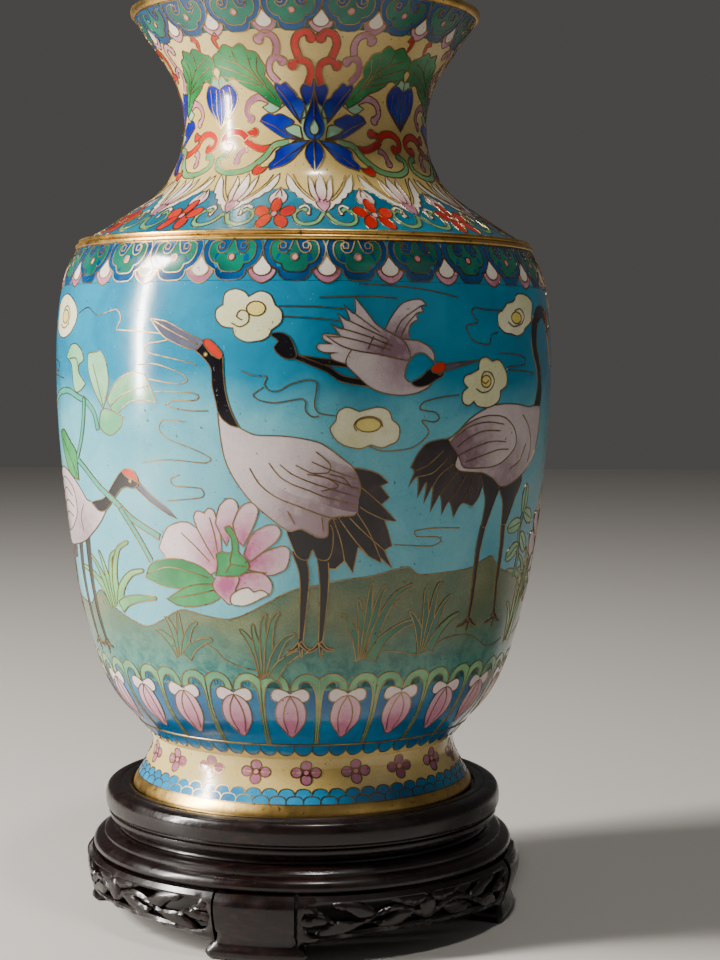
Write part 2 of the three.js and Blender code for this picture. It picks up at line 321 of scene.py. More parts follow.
def new_material(name):
    material = bpy.data.materials.new(name)
    material.use_nodes = True
    return material, material.node_tree, material.node_tree.nodes["Principled BSDF"]


def metal(name, bright, dull, tarnish, roughness, grain=900):
    material, tree, shader = new_material(name)
    worn = ramp(tree, noise(tree, 60, 6, 0.65), (0.36, 0.0), (0.62, 1.0))
    colour = blend(tree, worn, dull, bright)
    spots = ramp(tree, noise(tree, 420, 3, 0.6), (0.6, 0.0), (0.72, 1.0))
    tree.links.new(blend(tree, spots, colour, tarnish), shader.inputs["Base Color"])
    shader.inputs["Metallic"].default_value = 1.0
    tree.links.new(ramp(tree, noise(tree, 150, 5), (0.3, roughness + 0.12), (0.7, roughness)),
        shader.inputs["Roughness"])
    tree.links.new(relief(tree, noise(tree, grain, 3), 0.00004, 0.6), shader.inputs["Normal"])
    return material


copper = metal("copper", (0.72, 0.38, 0.24), (0.45, 0.2, 0.12), (0.2, 0.1, 0.06), 0.35)

for name, wall, hidden_top in (
    ("neck_shell", neck_wall, 301.0), ("shoulder_shell", neck_wall, 400),
    ("upper_belly_shell", belly_wall, SHOULDER_Z - 2.0), ("lower_belly_shell", belly_wall, 400),
    ("foot_shell", foot_wall, WAIST_Z),
):
    low, high = node_span(name)
    low = max(low, wall.table[0][1])
    high = min(high, hidden_top, wall.table[-1][1])
    shell = turned(name + "_copper", skin(wall, high, low, -ENAMEL, -ENAMEL - COPPER, 4), 120)
    finished(shell, copper, "vase", "copper", name)

low, high = node_span("base_plate")
reach = node_reach("base_plate")
plate = turned("base_plate_copper", [(0, high), (reach - 0.3, high), (reach, high - 0.3),
    (reach, low + 0.3), (reach - 0.3, low), (0, low)], 120)
finished(plate, copper, "vase", "copper", "base_plate")

# ---------------------------------------------------------------- gilt rings
# Spun brass rings with a worn satin gilding: a rolled rim over the lip, a double bead
# where neck and belly meet, and a flared foot ring that stands in the wooden seat.
gilt = metal("worn_gilding", (0.86, 0.56, 0.17), (0.58, 0.36, 0.10), (0.2, 0.12, 0.05), 0.26)

rim_low, rim_high = node_span("rim_ring")
rim = turned("rim_ring_gilt", [
    (66.9, rim_low), (67.9, rim_low + 0.1), (68.7, rim_low + 0.9), (68.95, rim_high - 1.3),
    (68.6, rim_high - 0.35),
    (67.8, rim_high - 0.03), (66.0, rim_high - 0.05), (65.1, rim_high - 0.5), (64.7, rim_high - 1.4),
    (64.7, rim_low + 0.2), (65.2, rim_low),
], 256)
finished(rim, gilt, "vase", "gilt", "rim_ring")

low, high = node_span("shoulder_ring")
middle = (low + high) / 2
bead = (high - low) / 4
reach = node_reach("shoulder_ring")
beads = arc((reach - bead - 1.3, middle + bead), bead, 100, -75, 9) + arc((reach - bead, middle - bead),
    bead, 75, -100, 9)
ring = turned("shoulder_ring_gilt", [(reach - 6.0, high - 0.7)] + beads + [(reach - 6.0, low + 0.7)], 256)
finished(ring, gilt, "vase", "gilt", "shoulder_ring")

low, high = node_span("foot_ring")
foot_bead = turned("foot_ring_gilt", [
    (63.2, 3.0), (65.2, 3.5), (65.9, 3.4), (66.5, 2.6), (67.3, 1.4), (67.9, 0.3), (68.2, -0.7),
    (68.2, low + 0.5), (67.8, low), (65.6, low), (65.2, low + 0.4), (63.2, 1.4),
], 256)
finished(foot_bead, gilt, "vase", "gilt", "foot_ring")

# ---------------------------------------------------------------- ground coats of glass
# Powdered glass packed between the wires, fired and ground flush: a buff neck and foot,
# green borders, a blue sky over green water meadows, and plain turquoise inside.


def tint(red, green, blue):
    """A colour as the eye names it, 0 to 255, turned into shader values."""
    parts = (v / 255 for v in (red, green, blue))
    return tuple(v / 12.92 if v < 0.04 else ((v + 0.055) / 1.055) ** 2.4 for v in parts)


def glass(name, colour, cloudy, drift=None, drift_size=28, roughness=0.13, speckle=0.5):
    """Fired glass paste: cloudy patches, sand-like grain, pinholes and a faint orange peel."""
    material, tree, shader = new_material(name)
    clouds = ramp(tree, noise(tree, drift_size * 2.2, 5, 0.62, 0.6), (0.34, 0.0), (0.66, 1.0))
    body = blend(tree, clouds, colour, cloudy)
    if drift:
        body = blend(tree, ramp(tree, noise(tree, drift_size, 3, 0.5), (0.42, 0.0), (0.62, 1.0)), body, drift)
    grain = ramp(tree, noise(tree, 1900, 2, 0.7), (0.35, 1.0 - 0.22 * speckle), (0.65, 1.0 + 0.1 * speckle))
    body = blend(tree, 1.0, body, grain, "MULTIPLY")
    pits = ramp(tree, noise(tree, 760, 2, 0.5), (0.7, 0.0), (0.735, 1.0))
    tree.links.new(blend(tree, pits, body, tuple(c * 0.25 for c in colour)), shader.inputs["Base Color"])
    sheen = ramp(tree, noise(tree, 90, 4), (0.3, roughness), (0.7, roughness + 0.07))
    tree.links.new(blend(tree, pits, sheen, (0.6, 0.6, 0.6)), shader.inputs["Roughness"])
    waves = relief(tree, noise(tree, 85, 2, 0.4), 0.00022, 0.35)
    tree.links.new(relief(tree, pits, -0.00008, 0.7, waves), shader.inputs["Normal"])
    shader.inputs["IOR"].default_value = 1.5
    shader.inputs["Coat Weight"].default_value = 0.25
    shader.inputs["Coat Roughness"].default_value = 0.06
    return material


def height_factor(tree, start, end, wobble, size):
    """0 below a level and 1 above it, with an uneven edge, from the Object height."""
    coordinates = tree.nodes.new("ShaderNodeTexCoord")
    split = tree.nodes.new("ShaderNodeSeparateXYZ")
    tree.links.new(coordinates.outputs["Object"], split.inputs["Vector"])
    shift = tree.nodes.new("ShaderNodeMath")
    shift.operation = "MULTIPLY_ADD"
    tree.links.new(noise(tree, size, 4, 0.6, 0.4), shift.inputs[0])
    shift.inputs[1].default_value = wobble
    tree.links.new(split.outputs["Z"], shift.inputs[2])
    fade = tree.nodes.new("ShaderNodeMapRange")
    fade.inputs["From Min"].default_value = (FOOT_LEVEL + start) * MM + wobble / 2
    fade.inputs["From Max"].default_value = (FOOT_LEVEL + end) * MM + wobble / 2
    fade.clamp = True
    tree.links.new(shift.outputs[0], fade.inputs["Value"])
    return fade.outputs["Result"]


def landscape_glass():
    """The belly's ground: pale sky under a deep turquoise one, with an uneven join."""
    material = glass("sky_glass", tint(84, 164, 182), tint(106, 180, 192), None, 20)
    tree = material.node_tree
    shader = tree.nodes["Principled BSDF"]
    body = shader.inputs["Base Color"].links[0].from_socket
    deep = blend(tree, ramp(tree, noise(tree, 42, 5, 0.6, 0.5), (0.35, 0.0), (0.65, 1.0)),
        tint(0, 112, 146), tint(6, 130, 162))
    sky = blend(tree, height_factor(tree, 147, 163, 0.026, 34), body, deep)
    tree.links.new(sky, shader.inputs["Base Color"])
    return material


sky_glass = landscape_glass()
border_green = glass("border_green_glass", tint(4, 84, 84), tint(8, 100, 94), tint(4, 68, 72), 30)
buff_glass = glass("buff_glass", tint(206, 182, 116), tint(216, 194, 132), tint(194, 168, 98), 26)
slope_glass = glass("slope_blue_glass", tint(0, 104, 132), tint(14, 124, 148), tint(0, 88, 118), 30)
lappet_glass = glass("lappet_blue_glass", tint(6, 96, 142), tint(16, 114, 158), tint(4, 80, 124), 30)
lining_glass = glass("lining_glass", (0.02, 0.33, 0.36), (0.03, 0.40, 0.41), None, 18, 0.22)

for name, wall, top, bottom, material, slot in (
    ("rim_border_enamel", neck_wall, 301.0, None, border_green, "turquoise_enamel"),
    ("neck_enamel", neck_wall, None, None, buff_glass, "buff_enamel"),
    ("shoulder_enamel", neck_wall, None, 213.5, slope_glass, "buff_enamel"),
    ("ruyi_border_enamel", belly_wall, 210.7, None, sky_glass, "turquoise_enamel"),
    ("landscape_enamel", belly_wall, None, None, sky_glass, "sky_enamel"),
    ("lappet_enamel", belly_wall, None, None, lappet_glass, "lappet_enamel"),
    ("waist_scallop_enamel", belly_wall, None, WAIST_Z, buff_glass, "lappet_enamel"),
    ("foot_enamel", foot_wall, WAIST_Z, 2.8, buff_glass, "buff_enamel"),
):
    low, high = node_span(name)
    low = bottom if bottom is not None else low
    high = top if top is not None else high
    coat = turned(name + "_ground", skin(wall, high, low, 0, -ENAMEL, 1.5), 300)
    finished(coat, material, "vase", slot, name)

LINING = 0.5
low, high = node_span("inside_lining")
deep = -ENAMEL - COPPER
lining_outer = neck_wall.section(high, SHOULDER_Z + 1.0, 3, deep) + belly_wall.section(SHOULDER_Z - 2.5,
    WAIST_Z, 3, deep)
lining_outer += foot_wall.section(WAIST_Z - 1, low + LINING, 3, deep)
lining_inner = [(r - LINING, z) for r, z in lining_outer]
lining_inner[-1] = (lining_inner[-1][0], low + LINING)
lining_outer[-1] = (lining_outer[-1][0], low)
lining = turned("inside_lining_glass", lining_outer + [(0, low), (0, low + LINING)] + lining_inner[::-1], 180)
finished(lining, lining_glass, "vase", "lining_enamel", "inside_lining")

low, high = node_span("base_enamel")
reach = node_reach("base_enamel")
underside = turned("base_enamel_glass", [(0, high), (reach, high), (reach, low + 0.3), (reach - 0.3, low),
    (0, low)], 120)
finished(underside, lining_glass, "vase", "lining_enamel", "base_enamel")

# ---------------------------------------------------------------- cells and wires
# Flat brass wire is bent to the drawing, stood on edge on the copper and filled with
# glass; after polishing the wire shows as a fine gilt line round every cell.
WIRE = 0.2
WIRE_PROUD = 0.13
GLASS_PROUD = 0.035
LAYER = 0.02
GLASS_DEEP = 0.2
WIRE_DEEP = 0.15
SAME_POINT = 0.05
LONGEST_STRETCH = 2.4
LEAST_BEND = 0.09


def curve(points, closed=False, pitch=1.1):
    """A smooth line through the points; a point with a third value is a corner."""
    count = len(points)
    line = []
    for i in range(count if closed else count - 1):
        p1, p2 = points[i], points[(i + 1) % count]
        p0 = points[i - 1] if closed or i else p1
        p3 = points[(i + 2) % count] if closed or i + 2 < count else p2
        gap = math.hypot(p2[0] - p1[0], p2[1] - p1[1])
        start = (0, 0) if len(p1) > 2 else ((p2[0] - p0[0]) / 2, (p2[1] - p0[1]) / 2)
        end = (0, 0) if len(p2) > 2 else ((p3[0] - p1[0]) / 2, (p3[1] - p1[1]) / 2)
        start, end = (tuple(a * min(1, gap / (math.hypot(*v) + 1e-9)) for a in v) for v in (start, end))
        steps = max(1, round(gap / pitch))
        for s in range(steps):
            w = s / steps
            a, b = 2 * w**3 - 3 * w**2 + 1, w**3 - 2 * w**2 + w
            c, d = 3 * w**2 - 2 * w**3, w**3 - w**2
            line.append(tuple(a * p1[k] + b * start[k] + c * p2[k] + d * end[k] for k in (0, 1)))
    if not closed:
        line.append(tuple(points[-1][:2]))
    return line


def stroke(points, first, last=None, bulb=0.0, pitch=1.1):
    """Outline of a scroll or stalk: a line given a width, with a round head if wanted."""
    line = curve(points, False, pitch)
    last = first if last is None else last
    sides = ([], [])
    for i, (x, z) in enumerate(line):
        before, after = line[max(0, i - 1)], line[min(len(line) - 1, i + 1)]
        dx, dz = after[0] - before[0], after[1] - before[1]
        size = math.hypot(dx, dz) or 1
        half = (first + (last - first) * i / (len(line) - 1)) / 2
        for side, sign in zip(sides, (1, -1)):
            side.append((x - sign * dz / size * half, z + sign * dx / size * half))
    (x, z), (xb, zb) = line[-1], line[-2]
    heading = math.atan2(z - zb, x - xb)
    tip = max(last / 2, bulb)
    if bulb:
        round_end = [(x + tip * math.cos(heading + a), z + tip * math.sin(heading + a))
            for a in (2.2, 1.4, 0.7, 0, -0.7, -1.4, -2.2)]
    else:
        round_end = [(x + tip * math.cos(heading), z + tip * math.sin(heading))] if tip > 0.2 else []
    return sides[0] + round_end + sides[1][::-1]


def oval(x, z, wide, high, count=14, turn=0.0):
    places = []
    for i in range(count):
        a = math.tau * i / count
        u, v = wide * math.cos(a), high * math.sin(a)
        places.append((x + u * math.cos(turn) - v * math.sin(turn),
            z + u * math.sin(turn) + v * math.cos(turn)))
    return places


def bounds_of(line):
    """Left, right, lowest and highest of a flat line."""
    xs, zs = [p[0] for p in line], [p[1] for p in line]
    return min(xs), max(xs), min(zs), max(zs)


def meets(box, other, step=0.0):
    """Whether two such bounds overlap, the second moved round the wall by a step."""
    across = box[0] < other[1] + step and box[1] > other[0] + step
    return across and box[2] < other[3] and box[3] > other[2]


class Band:
    """The cells and wires of one band of the wall, drawn in groups from the ground up."""

    def __init__(self, wall, grid=3.0, pitch=1.1):
        self.wall, self.grid, self.pitch = wall, grid, pitch
        self.groups, self.cells, self.wires = [], [], []

    def begin(self, name, glasses, slot):
        """The next cells and wires belong to this piece of the drawing."""
        self.groups.append((name, glasses, slot))

    def cell(self, outline, kind, heart=None, layer=0):
        key = (len(self.groups), layer, len(self.cells))
        self.cells.append((key, bounds_of(outline), outline, kind, heart))

    def wire(self, line, closed=False, layer=0):
        self.wires.append(((len(self.groups), layer, len(self.cells) - 1), line, closed))

    def make(self):
        """Fires the glass and solders the wires: two meshes for each group."""
        self.cells.sort(key=lambda cell: cell[0])
        heights = self.stacked()
        for number, (name, glasses, slot) in enumerate(self.groups, 1):
            mine = [(cell, heights[i]) for i, cell in enumerate(self.cells) if cell[0][0] == number]
            self.fire(name, mine, glasses)
            lines = []
            for key, line, closed in self.wires:
                if key[0] == number:
                    height = self.lift(key, line, heights)
                    lines += [(*stretch, height) for stretch in self.uncovered(key, line, closed)]
            self.solder(name + "_wires", lines)

    def stacked(self):
        """How far each cell stands up, so that a later one lies over an earlier one."""
        heights = []
        for i, (_, box, rim, *_) in enumerate(self.cells):
            under = [heights[k] for k in range(i) if self.touching(box, rim, *self.cells[k][1:3])]
            heights.append(max(under) + 1 if under else 0)
        return heights

    @staticmethod
    def touching(box, rim, other_box, other_rim):
        if box[0] > other_box[1] or box[1] < other_box[0] or box[2] > other_box[3] or box[3] < other_box[2]:
            return False
        return any(inside(p, other_rim) for p in drawn_in(rim)) or any(inside(p, rim)
            for p in drawn_in(other_rim))

    def lift(self, key, line, heights):
        """The height of the highest cell that a wire runs on."""
        reach = bounds_of(line)
        levels = [0]
        for cell, height in zip(self.cells, heights):
            if cell[0] <= key and height > max(levels) and meets(reach, cell[1]):
                if cell[0] == key or any(inside(p, cell[2]) for p in line):
                    levels.append(height)
        return max(levels)

    def uncovered(self, key, line, closed):
        """The stretches of a wire that no later cell covers."""
        reach = bounds_of(line)
        turn = math.tau * self.wall.reference
        over = []
        for cell_key, box, rim, *_ in self.cells:
            for step in (-turn, 0, turn):
                if cell_key > key and meets(reach, box, step):
                    over.append([(x + step, z) for x, z in rim])
        hidden = [any(inside(p, rim) for rim in over) for p in line]
        if not any(hidden):
            return [(line, closed)]
        if closed:
            first = hidden.index(True)
            line = line[first:] + line[:first + 1]
            hidden = hidden[first:] + hidden[:first + 1]
        stretches, current = [], []
        for p, cover in zip(line, hidden):
            if not cover:
                current.append(p)
            elif current:
                stretches.append(current)
                current = []
        if current:
            stretches.append(current)
        return [(stretch, False) for stretch in stretches if len(stretch) > 1]

    def fire(self, name, cells, glasses):
        """One closed mesh of a group's cells, level with the ground coat."""
        if not cells:
            return
        names = list(glasses)
        mesh = bpy.data.meshes.new(name)
        verts, faces, kinds, normals, blush = [], [], [], [], []
        for (_, _, outline, kind, heart), height in cells:
            flat, triangles = filled(outline, self.grid)
            start, count = len(verts), len(flat)
            for x, z in flat:
                place, normal = self.wall.point(x, z, GLASS_PROUD + LAYER * height)
                verts.append(place)
                normals.append(normal)
                far = math.hypot(x - heart[0], z - heart[1]) / heart[2] if heart else 1
                blush.append(max(0.0, 1 - far))
            for x, z in flat:
                place, normal = self.wall.point(x, z, -GLASS_DEEP)
                verts.append(place)
                normals.append(normal)
            blush += blush[start:start + count]
            for a, b, c in triangles:
                faces.append((start + a, start + b, start + c))
                faces.append((start + count + c, start + count + b, start + count + a))
                kinds += [names.index(kind)] * 2
            for u, v in open_edges(triangles):
                faces.append((start + v, start + u, start + count + u, start + count + v))
                kinds.append(names.index(kind))
        mesh.from_pydata(verts, [], faces)
        mesh.polygons.foreach_set("material_index", kinds)
        mesh.polygons.foreach_set("use_smooth", [True] * len(faces))
        mesh.attributes.new("blush", "FLOAT", "POINT").data.foreach_set("value", blush)
        mesh.normals_split_custom_set_from_vertices(normals)
        piece = placed(name, mesh)
        for material in glasses.values():
            mesh.materials.append(material)
        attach(piece, "vase")

    def solder(self, name, lines):
        """One mesh of a group's wires: strips on edge, just proud of the glass."""
        verts, faces = [], []
        for line, closed, height in lines:
            line = thinned(line, closed)
            places = [self.wall.point(x, z, LAYER * height) for x, z in line]
            count = len(places)
            if count < 2:
                continue
            start = len(verts)
            for i, (place, normal) in enumerate(places):
                before = places[i - 1][0] if closed or i else place
                after = places[(i + 1) % count][0] if closed or i + 1 < count else place
                incoming, outgoing = (place - before).normalized(), (after - place).normalized()
                along = (incoming + outgoing).normalized()
                side = normal.cross(along).normalized()
                stretch = 1.0
                if incoming.length and outgoing.length:
                    stretch = min(1.5, 1 / max(0.5, along.dot(outgoing)))
                half = side * WIRE * stretch * MM
                top, foot = normal * WIRE_PROUD * MM, normal * (-WIRE_DEEP - 0.5 * LAYER * height) * MM
                verts += [place + half * 1.25 + foot, place + half + top, place - half + top,
                    place - half * 1.25 + foot]
            for i in range(count if closed else count - 1):
                a, b = start + 4 * i, start + 4 * ((i + 1) % count)
                for k in range(4):
                    m = (k + 1) % 4
                    faces.append((a + k, b + k, b + m, a + m))
            if not closed:
                end = start + 4 * (count - 1)
                faces.append((start, start + 1, start + 2, start + 3))
                faces.append((end + 3, end + 2, end + 1, end))
        mesh = bpy.data.meshes.new(name)
        mesh.from_pydata(verts, [], faces)
        piece = placed(name, mesh)
        finished(piece, wire_gilt_painted_dark, "vase", "gilt")


def drawn_in(rim, margin=0.35):
    """The points of a rim, each moved inwards, so that cells side by side don't count as overlapping."""
    moved = []
    turn = 1 if sum(a[0] * b[1] - b[0] * a[1] for a, b in zip(rim, rim[1:] + rim[:1])) > 0 else -1
    for before, point, after in zip(rim[-1:] + rim[:-1], rim, rim[1:] + rim[:1]):
        dx, dz = after[0] - before[0], after[1] - before[1]
        size = math.hypot(dx, dz) or 1
        moved.append((point[0] - turn * dz / size * margin, point[1] + turn * dx / size * margin))
    return moved


def inside(point, rim):
    """Whether a flat point lies within a closed rim."""
    x, z = point
    crossings = 0
    for (ax, az), (bx, bz) in zip(rim, rim[1:] + rim[:1]):
        if (az > z) != (bz > z) and x < ax + (z - az) / (bz - az) * (bx - ax):
            crossings += 1
    return crossings % 2 == 1


def open_edges(triangles):
    """The edges that only one of the triangles has."""
    border = {}
    for a, b, c in triangles:
        for u, v in ((a, b), (b, c), (c, a)):
            if (v, u) in border:
                del border[(v, u)]
            else:
                border[(u, v)] = True
    return border


def filled(outline, grid):
    """Triangles over a flat outline, with inner points so that it can follow the wall."""
    xs, zs = [p[0] for p in outline], [p[1] for p in outline]
    edges = [(i, (i + 1) % len(outline)) for i in range(len(outline))]
    inner = []
    for row in range(math.ceil(min(zs) / grid), math.floor(max(zs) / grid) + 1):
        for column in range(math.ceil(min(xs) / grid) - 1, math.floor(max(xs) / grid) + 1):
            x, z = (column + 0.5 * (row % 2)) * grid, row * grid
            if min((x - p[0]) ** 2 + (z - p[1]) ** 2 for p in outline) > (0.35 * grid) ** 2:
                inner.append(Vector((x, z)))
    flat, _, triangles, *_ = delaunay_2d_cdt([Vector(p) for p in outline] + inner, edges, [], 1, 1e-6)
    used = sorted({i for t in triangles for i in t})
    again = {old: new for new, old in enumerate(used)}
    kept = []
    for a, b, c in triangles:
        turn = (flat[b] - flat[a]).cross(flat[c] - flat[a])
        kept.append((again[a], again[b], again[c]) if turn > 0 else (again[a], again[c], again[b]))
    return [tuple(flat[i]) for i in used], kept


def thinned(line, closed):
    """Leaves out points that stand together or on a straight stretch."""
    kept = [line[0]]
    for i in range(1, len(line) - (0 if closed else 1)):
        after = line[(i + 1) % len(line)]
        (ax, az), (bx, bz) = kept[-1], line[i]
        gap = math.hypot(bx - ax, bz - az)
        if gap < SAME_POINT:
            continue
        bend = abs(math.remainder(math.atan2(after[1] - bz, after[0] - bx) - math.atan2(bz - az, bx - ax),
            math.tau))
        if gap > LONGEST_STRETCH or bend > LEAST_BEND:
            kept.append(line[i])
    if not closed:
        kept.append(line[-1])
    return kept


class Stencil:
    """Sets a drawing on a band: moved along it, mirrored, raised or scaled."""

    def __init__(self, band, shift=0.0, flip=1, rise=0.0, size=1.0, about=(0, 0)):
        self.band, self.shift, self.flip = band, shift, flip
        self.rise, self.size, self.about = rise, size, about
        self.layer = 0

    def place(self, points):
        u, v = self.about
        s = self.size
        return [(self.shift + self.flip * (u + s * (p[0] - u)), self.rise + v + s * (p[1] - v), *p[2:])
            for p in points]

    def cell(self, points, kind, heart=None, layer=0, edge=True):
        outline = curve(self.place(points), True, self.band.pitch)
        if heart:
            heart = (*self.place([heart[:2]])[0], heart[2])
        self.band.cell(outline, kind, heart, layer)
        self.layer = layer
        if edge:
            self.band.wire(outline, True, layer)

    def scroll(self, points, width, kind, last=None, bulb=0.0, layer=0, edge=True):
        """A stroke of glass along a line, wired on both sides."""
        outline = self.place(stroke(points, width, last, bulb, self.band.pitch))
        self.band.cell(outline, kind, None, layer)
        self.layer = layer
        if edge:
            self.band.wire(outline, True, layer)

    def wire(self, points, closed=False):
        self.band.wire(curve(self.place(points), closed, self.band.pitch), closed, self.layer)

    def wires(self, *lines):
        for line in lines:
            self.wire(line)


# Gilt wire with a dark brown base colour: painted shade standing in for the dark surroundings the wire
# reflects; the spots are tarnish.
wire_gilt_painted_dark = metal("wire_gilding_painted_dark", (0.36, 0.25, 0.11), (0.17, 0.105, 0.045), (0.08, 0.055, 0.035), 0.3, 1500)


def blushed(name, colour, cloudy, inner, *rest, **more):
    """Glass shaded from its own colour to another towards the heart of a petal."""
    material = glass(name, colour, cloudy, *rest, **more)
    tree = material.node_tree
    shader = tree.nodes["Principled BSDF"]
    attribute = tree.nodes.new("ShaderNodeAttribute")
    attribute.attribute_name = "blush"
    wobble = tree.nodes.new("ShaderNodeMath")
    wobble.operation = "MULTIPLY"
    tree.links.new(attribute.outputs["Fac"], wobble.inputs[0])
    tree.links.new(ramp(tree, noise(tree, 300, 4, 0.6), (0.3, 0.7), (0.7, 1.25)), wobble.inputs[1])
    body = shader.inputs["Base Color"].links[0].from_socket
    tree.links.new(blend(tree, ramp(tree, wobble.outputs[0], (0.05, 0.0), (0.75, 1.0)), body, inner),
        shader.inputs["Base Color"])
    return material


black_glass = glass("black_glass", tint(12, 10, 14), tint(22, 20, 26), roughness=0.1)
tail_glass = glass("tail_brown_glass", tint(36, 26, 30), tint(58, 44, 48), tint(20, 14, 18), 60)
plume_glass = blushed("plumage_glass", tint(206, 192, 190), tint(192, 176, 178), tint(150, 128, 134))
wing_glass = blushed("wing_glass", tint(206, 192, 190), tint(190, 172, 176), tint(124, 96, 108))
red_glass = glass("red_glass", tint(186, 36, 26), tint(205, 56, 36), roughness=0.12)
bill_glass = glass("bill_glass", tint(62, 64, 86), tint(92, 94, 112))
cloud_glass = glass("cloud_glass", tint(218, 216, 176), tint(228, 224, 196), tint(206, 208, 160), 50)
yellow_glass = glass("yellow_glass", tint(216, 196, 96), tint(224, 206, 120))
leaf_glass = glass("leaf_glass", tint(44, 138, 74), tint(66, 156, 92), tint(30, 118, 62), 50)
pale_leaf_glass = glass("pale_leaf_glass", tint(128, 186, 140), tint(158, 202, 160), tint(96, 170, 122), 40)
stem_glass = glass("stem_glass", tint(40, 150, 128), tint(66, 168, 146))
grass_glass = glass("grass_glass", tint(104, 168, 98), tint(132, 186, 118), tint(78, 146, 90), 60)
# The same grass green made darker: painted shade for the tufts that lie in shade.
grass_in_painted_shade_glass = glass("grass_in_painted_shade_glass", tint(56, 112, 84), tint(80, 132, 96), tint(46, 96, 80), 60)
petal_glass = blushed("lotus_petal_glass", tint(220, 200, 200), tint(208, 180, 186), tint(166, 82, 122))
white_glass = glass("white_glass", tint(226, 220, 206), tint(216, 208, 196))

# ---------------------------------------------------------------- hills and grass
# The lowest third of the scene: an olive bank that turns to green water below, a second
# ridge inside it, and tufts of long grass, light green ones and darker ones in painted shade.
BELLY_TURN = math.tau * belly_wall.reference
belly = Band(belly_wall, 2.6)


def meadow_glass():
    material = glass("meadow_glass", tint(98, 110, 74), tint(116, 124, 88), tint(80, 106, 80), 46,
        speckle=1.2)
    tree = material.node_tree
    shader = tree.nodes["Principled BSDF"]
    body = shader.inputs["Base Color"].links[0].from_socket
    water = blend(tree, ramp(tree, noise(tree, 230, 6, 0.75, 0.5), (0.4, 0.0), (0.58, 1.0)),
        tint(22, 98, 94), tint(72, 132, 116))
    bank = blend(tree, height_factor(tree, 56, 74, 0.016, 70), water, body)
    tree.links.new(bank, shader.inputs["Base Color"])
    return material


belly.begin("belly_hills", {"meadow": meadow_glass()}, "sky_enamel")
ridge = [
    (-150, 72), (-130, 75), (-112, 74.5), (-105, 78), (-97, 81), (-90, 76), (-70, 70), (-60, 73), (-50, 77.5),
    (-40, 76), (-30, 75), (-23, 77), (-15, 81), (-5, 86), (5, 88), (15, 90), (25, 91), (40, 94), (45, 91),
    (55, 91),
    (70, 92), (82, 95.6), (88, 91), (100, 88), (115, 90), (132, 86), (150, 78), (170, 74), (190, 80),
    (205, 84),
    (222, 80), (240, 86), (262, 93), (280, 91), (300, 88), (320, 80), (345, 74), (375, 77), (400, 72),
    (425, 70),
]
HILL_FOOT = 48.4
for start, end in ((0, 14), (14, 27), (27, 39)):
    stretch = ridge[start:end + 1]
    if end == 39:
        stretch = stretch + [(BELLY_TURN - 150, 72)]
    top = curve(stretch)
    (left, first), (right, last) = top[0], top[-1]
    down = [(right, last - (last - HILL_FOOT) * i / 16) for i in range(1, 16)]
    bottom = [(right - (right - left) * i / 60, HILL_FOOT) for i in range(61)]
    up = [(left, HILL_FOOT + (first - HILL_FOOT) * i / 16) for i in range(1, 16)]
    belly.cell(top + down + bottom + up, "meadow")
    belly.wire(top)

def tracery(draw):
    draw.wires(
        [(-22, 164.2), (-18.2, 162.7), (-13.2, 162.3), (-13.9, 159.6), (-12, 157.3), (-8.9, 157.3),
        (-5, 159.6), (1, 161.2), (4.2, 160), (3.4, 152.7), (4.9, 149.6), (11.4, 148.5)],
        [(-14.3, 158.5), (-17.8, 155.8), (-15.1, 153.8), (-9.7, 153.1), (-1.2, 154.6), (0.3, 153.5),
        (0.3, 150.4), (2.6, 148.2), (4.9, 148.5)],
        [(-9, 186.9), (3, 186.8), (15, 186)], [(-8.2, 183.3), (2, 182.8), (12, 182)],
        [(5, 190), (22, 190.6), (33, 190)], [(19, 195), (38, 194), (50, 192.4), (58, 190.8)],
        [(34, 102.3), (50, 101.3), (54, 103), (52, 104.5), (43, 105), (42, 107), (50, 107.8), (62, 107.3)],
        [(82, 186.7), (71, 186.7), (66, 187.3), (64, 185.8), (66.7, 182), (61.3, 180.8), (62, 178.3),
        (65, 175), (72.5, 174.2), (74, 177.5), (77.5, 178.5)],
        [(78, 171), (90, 170.4), (96, 169), (95, 166.7), (84, 166), (83, 165), (94, 164.4), (104, 163.6)],
        [(58, 155.8), (50, 155), (43, 153.3), (41.7, 150.8), (48, 149.6), (49.6, 147.5), (47.5, 146.2),
        (42.5, 146.7), (45.4, 142.5), (40, 137.5), (33, 136.2), (26.7, 136.2), (22.6, 138)],
        [(-74, 178.6), (-62, 178), (-52, 177), (-50, 175), (-58, 173.6), (-60, 171), (-46, 168),
        (-38.4, 166.2)],
        [(-62, 156.5), (-50, 156.6), (-40, 156.3), (-37.5, 155), (-39, 153.6), (-48, 153.5), (-50, 151.5),
        (-42, 150), (-34, 150)],
        [(-43, 146), (-52, 146.5), (-54, 143.5), (-51, 140), (-44, 137.6), (-38, 135.5), (-33.5, 133),
        (-36, 131.5), (-50, 132.3), (-62, 131)],
        [(-46, 127), (-50, 125.5), (-49, 123), (-38, 122.4), (-36.6, 120.4), (-38, 119), (-52, 117.4)],
        [(-100, 185), (-93, 187), (-86, 184), (-75, 186), (-72, 183), (-74, 179)],
        [(-63, 166), (-55, 166.4), (-44, 163), (-42, 160.6), (-46, 159.4), (-58, 161)],
    )


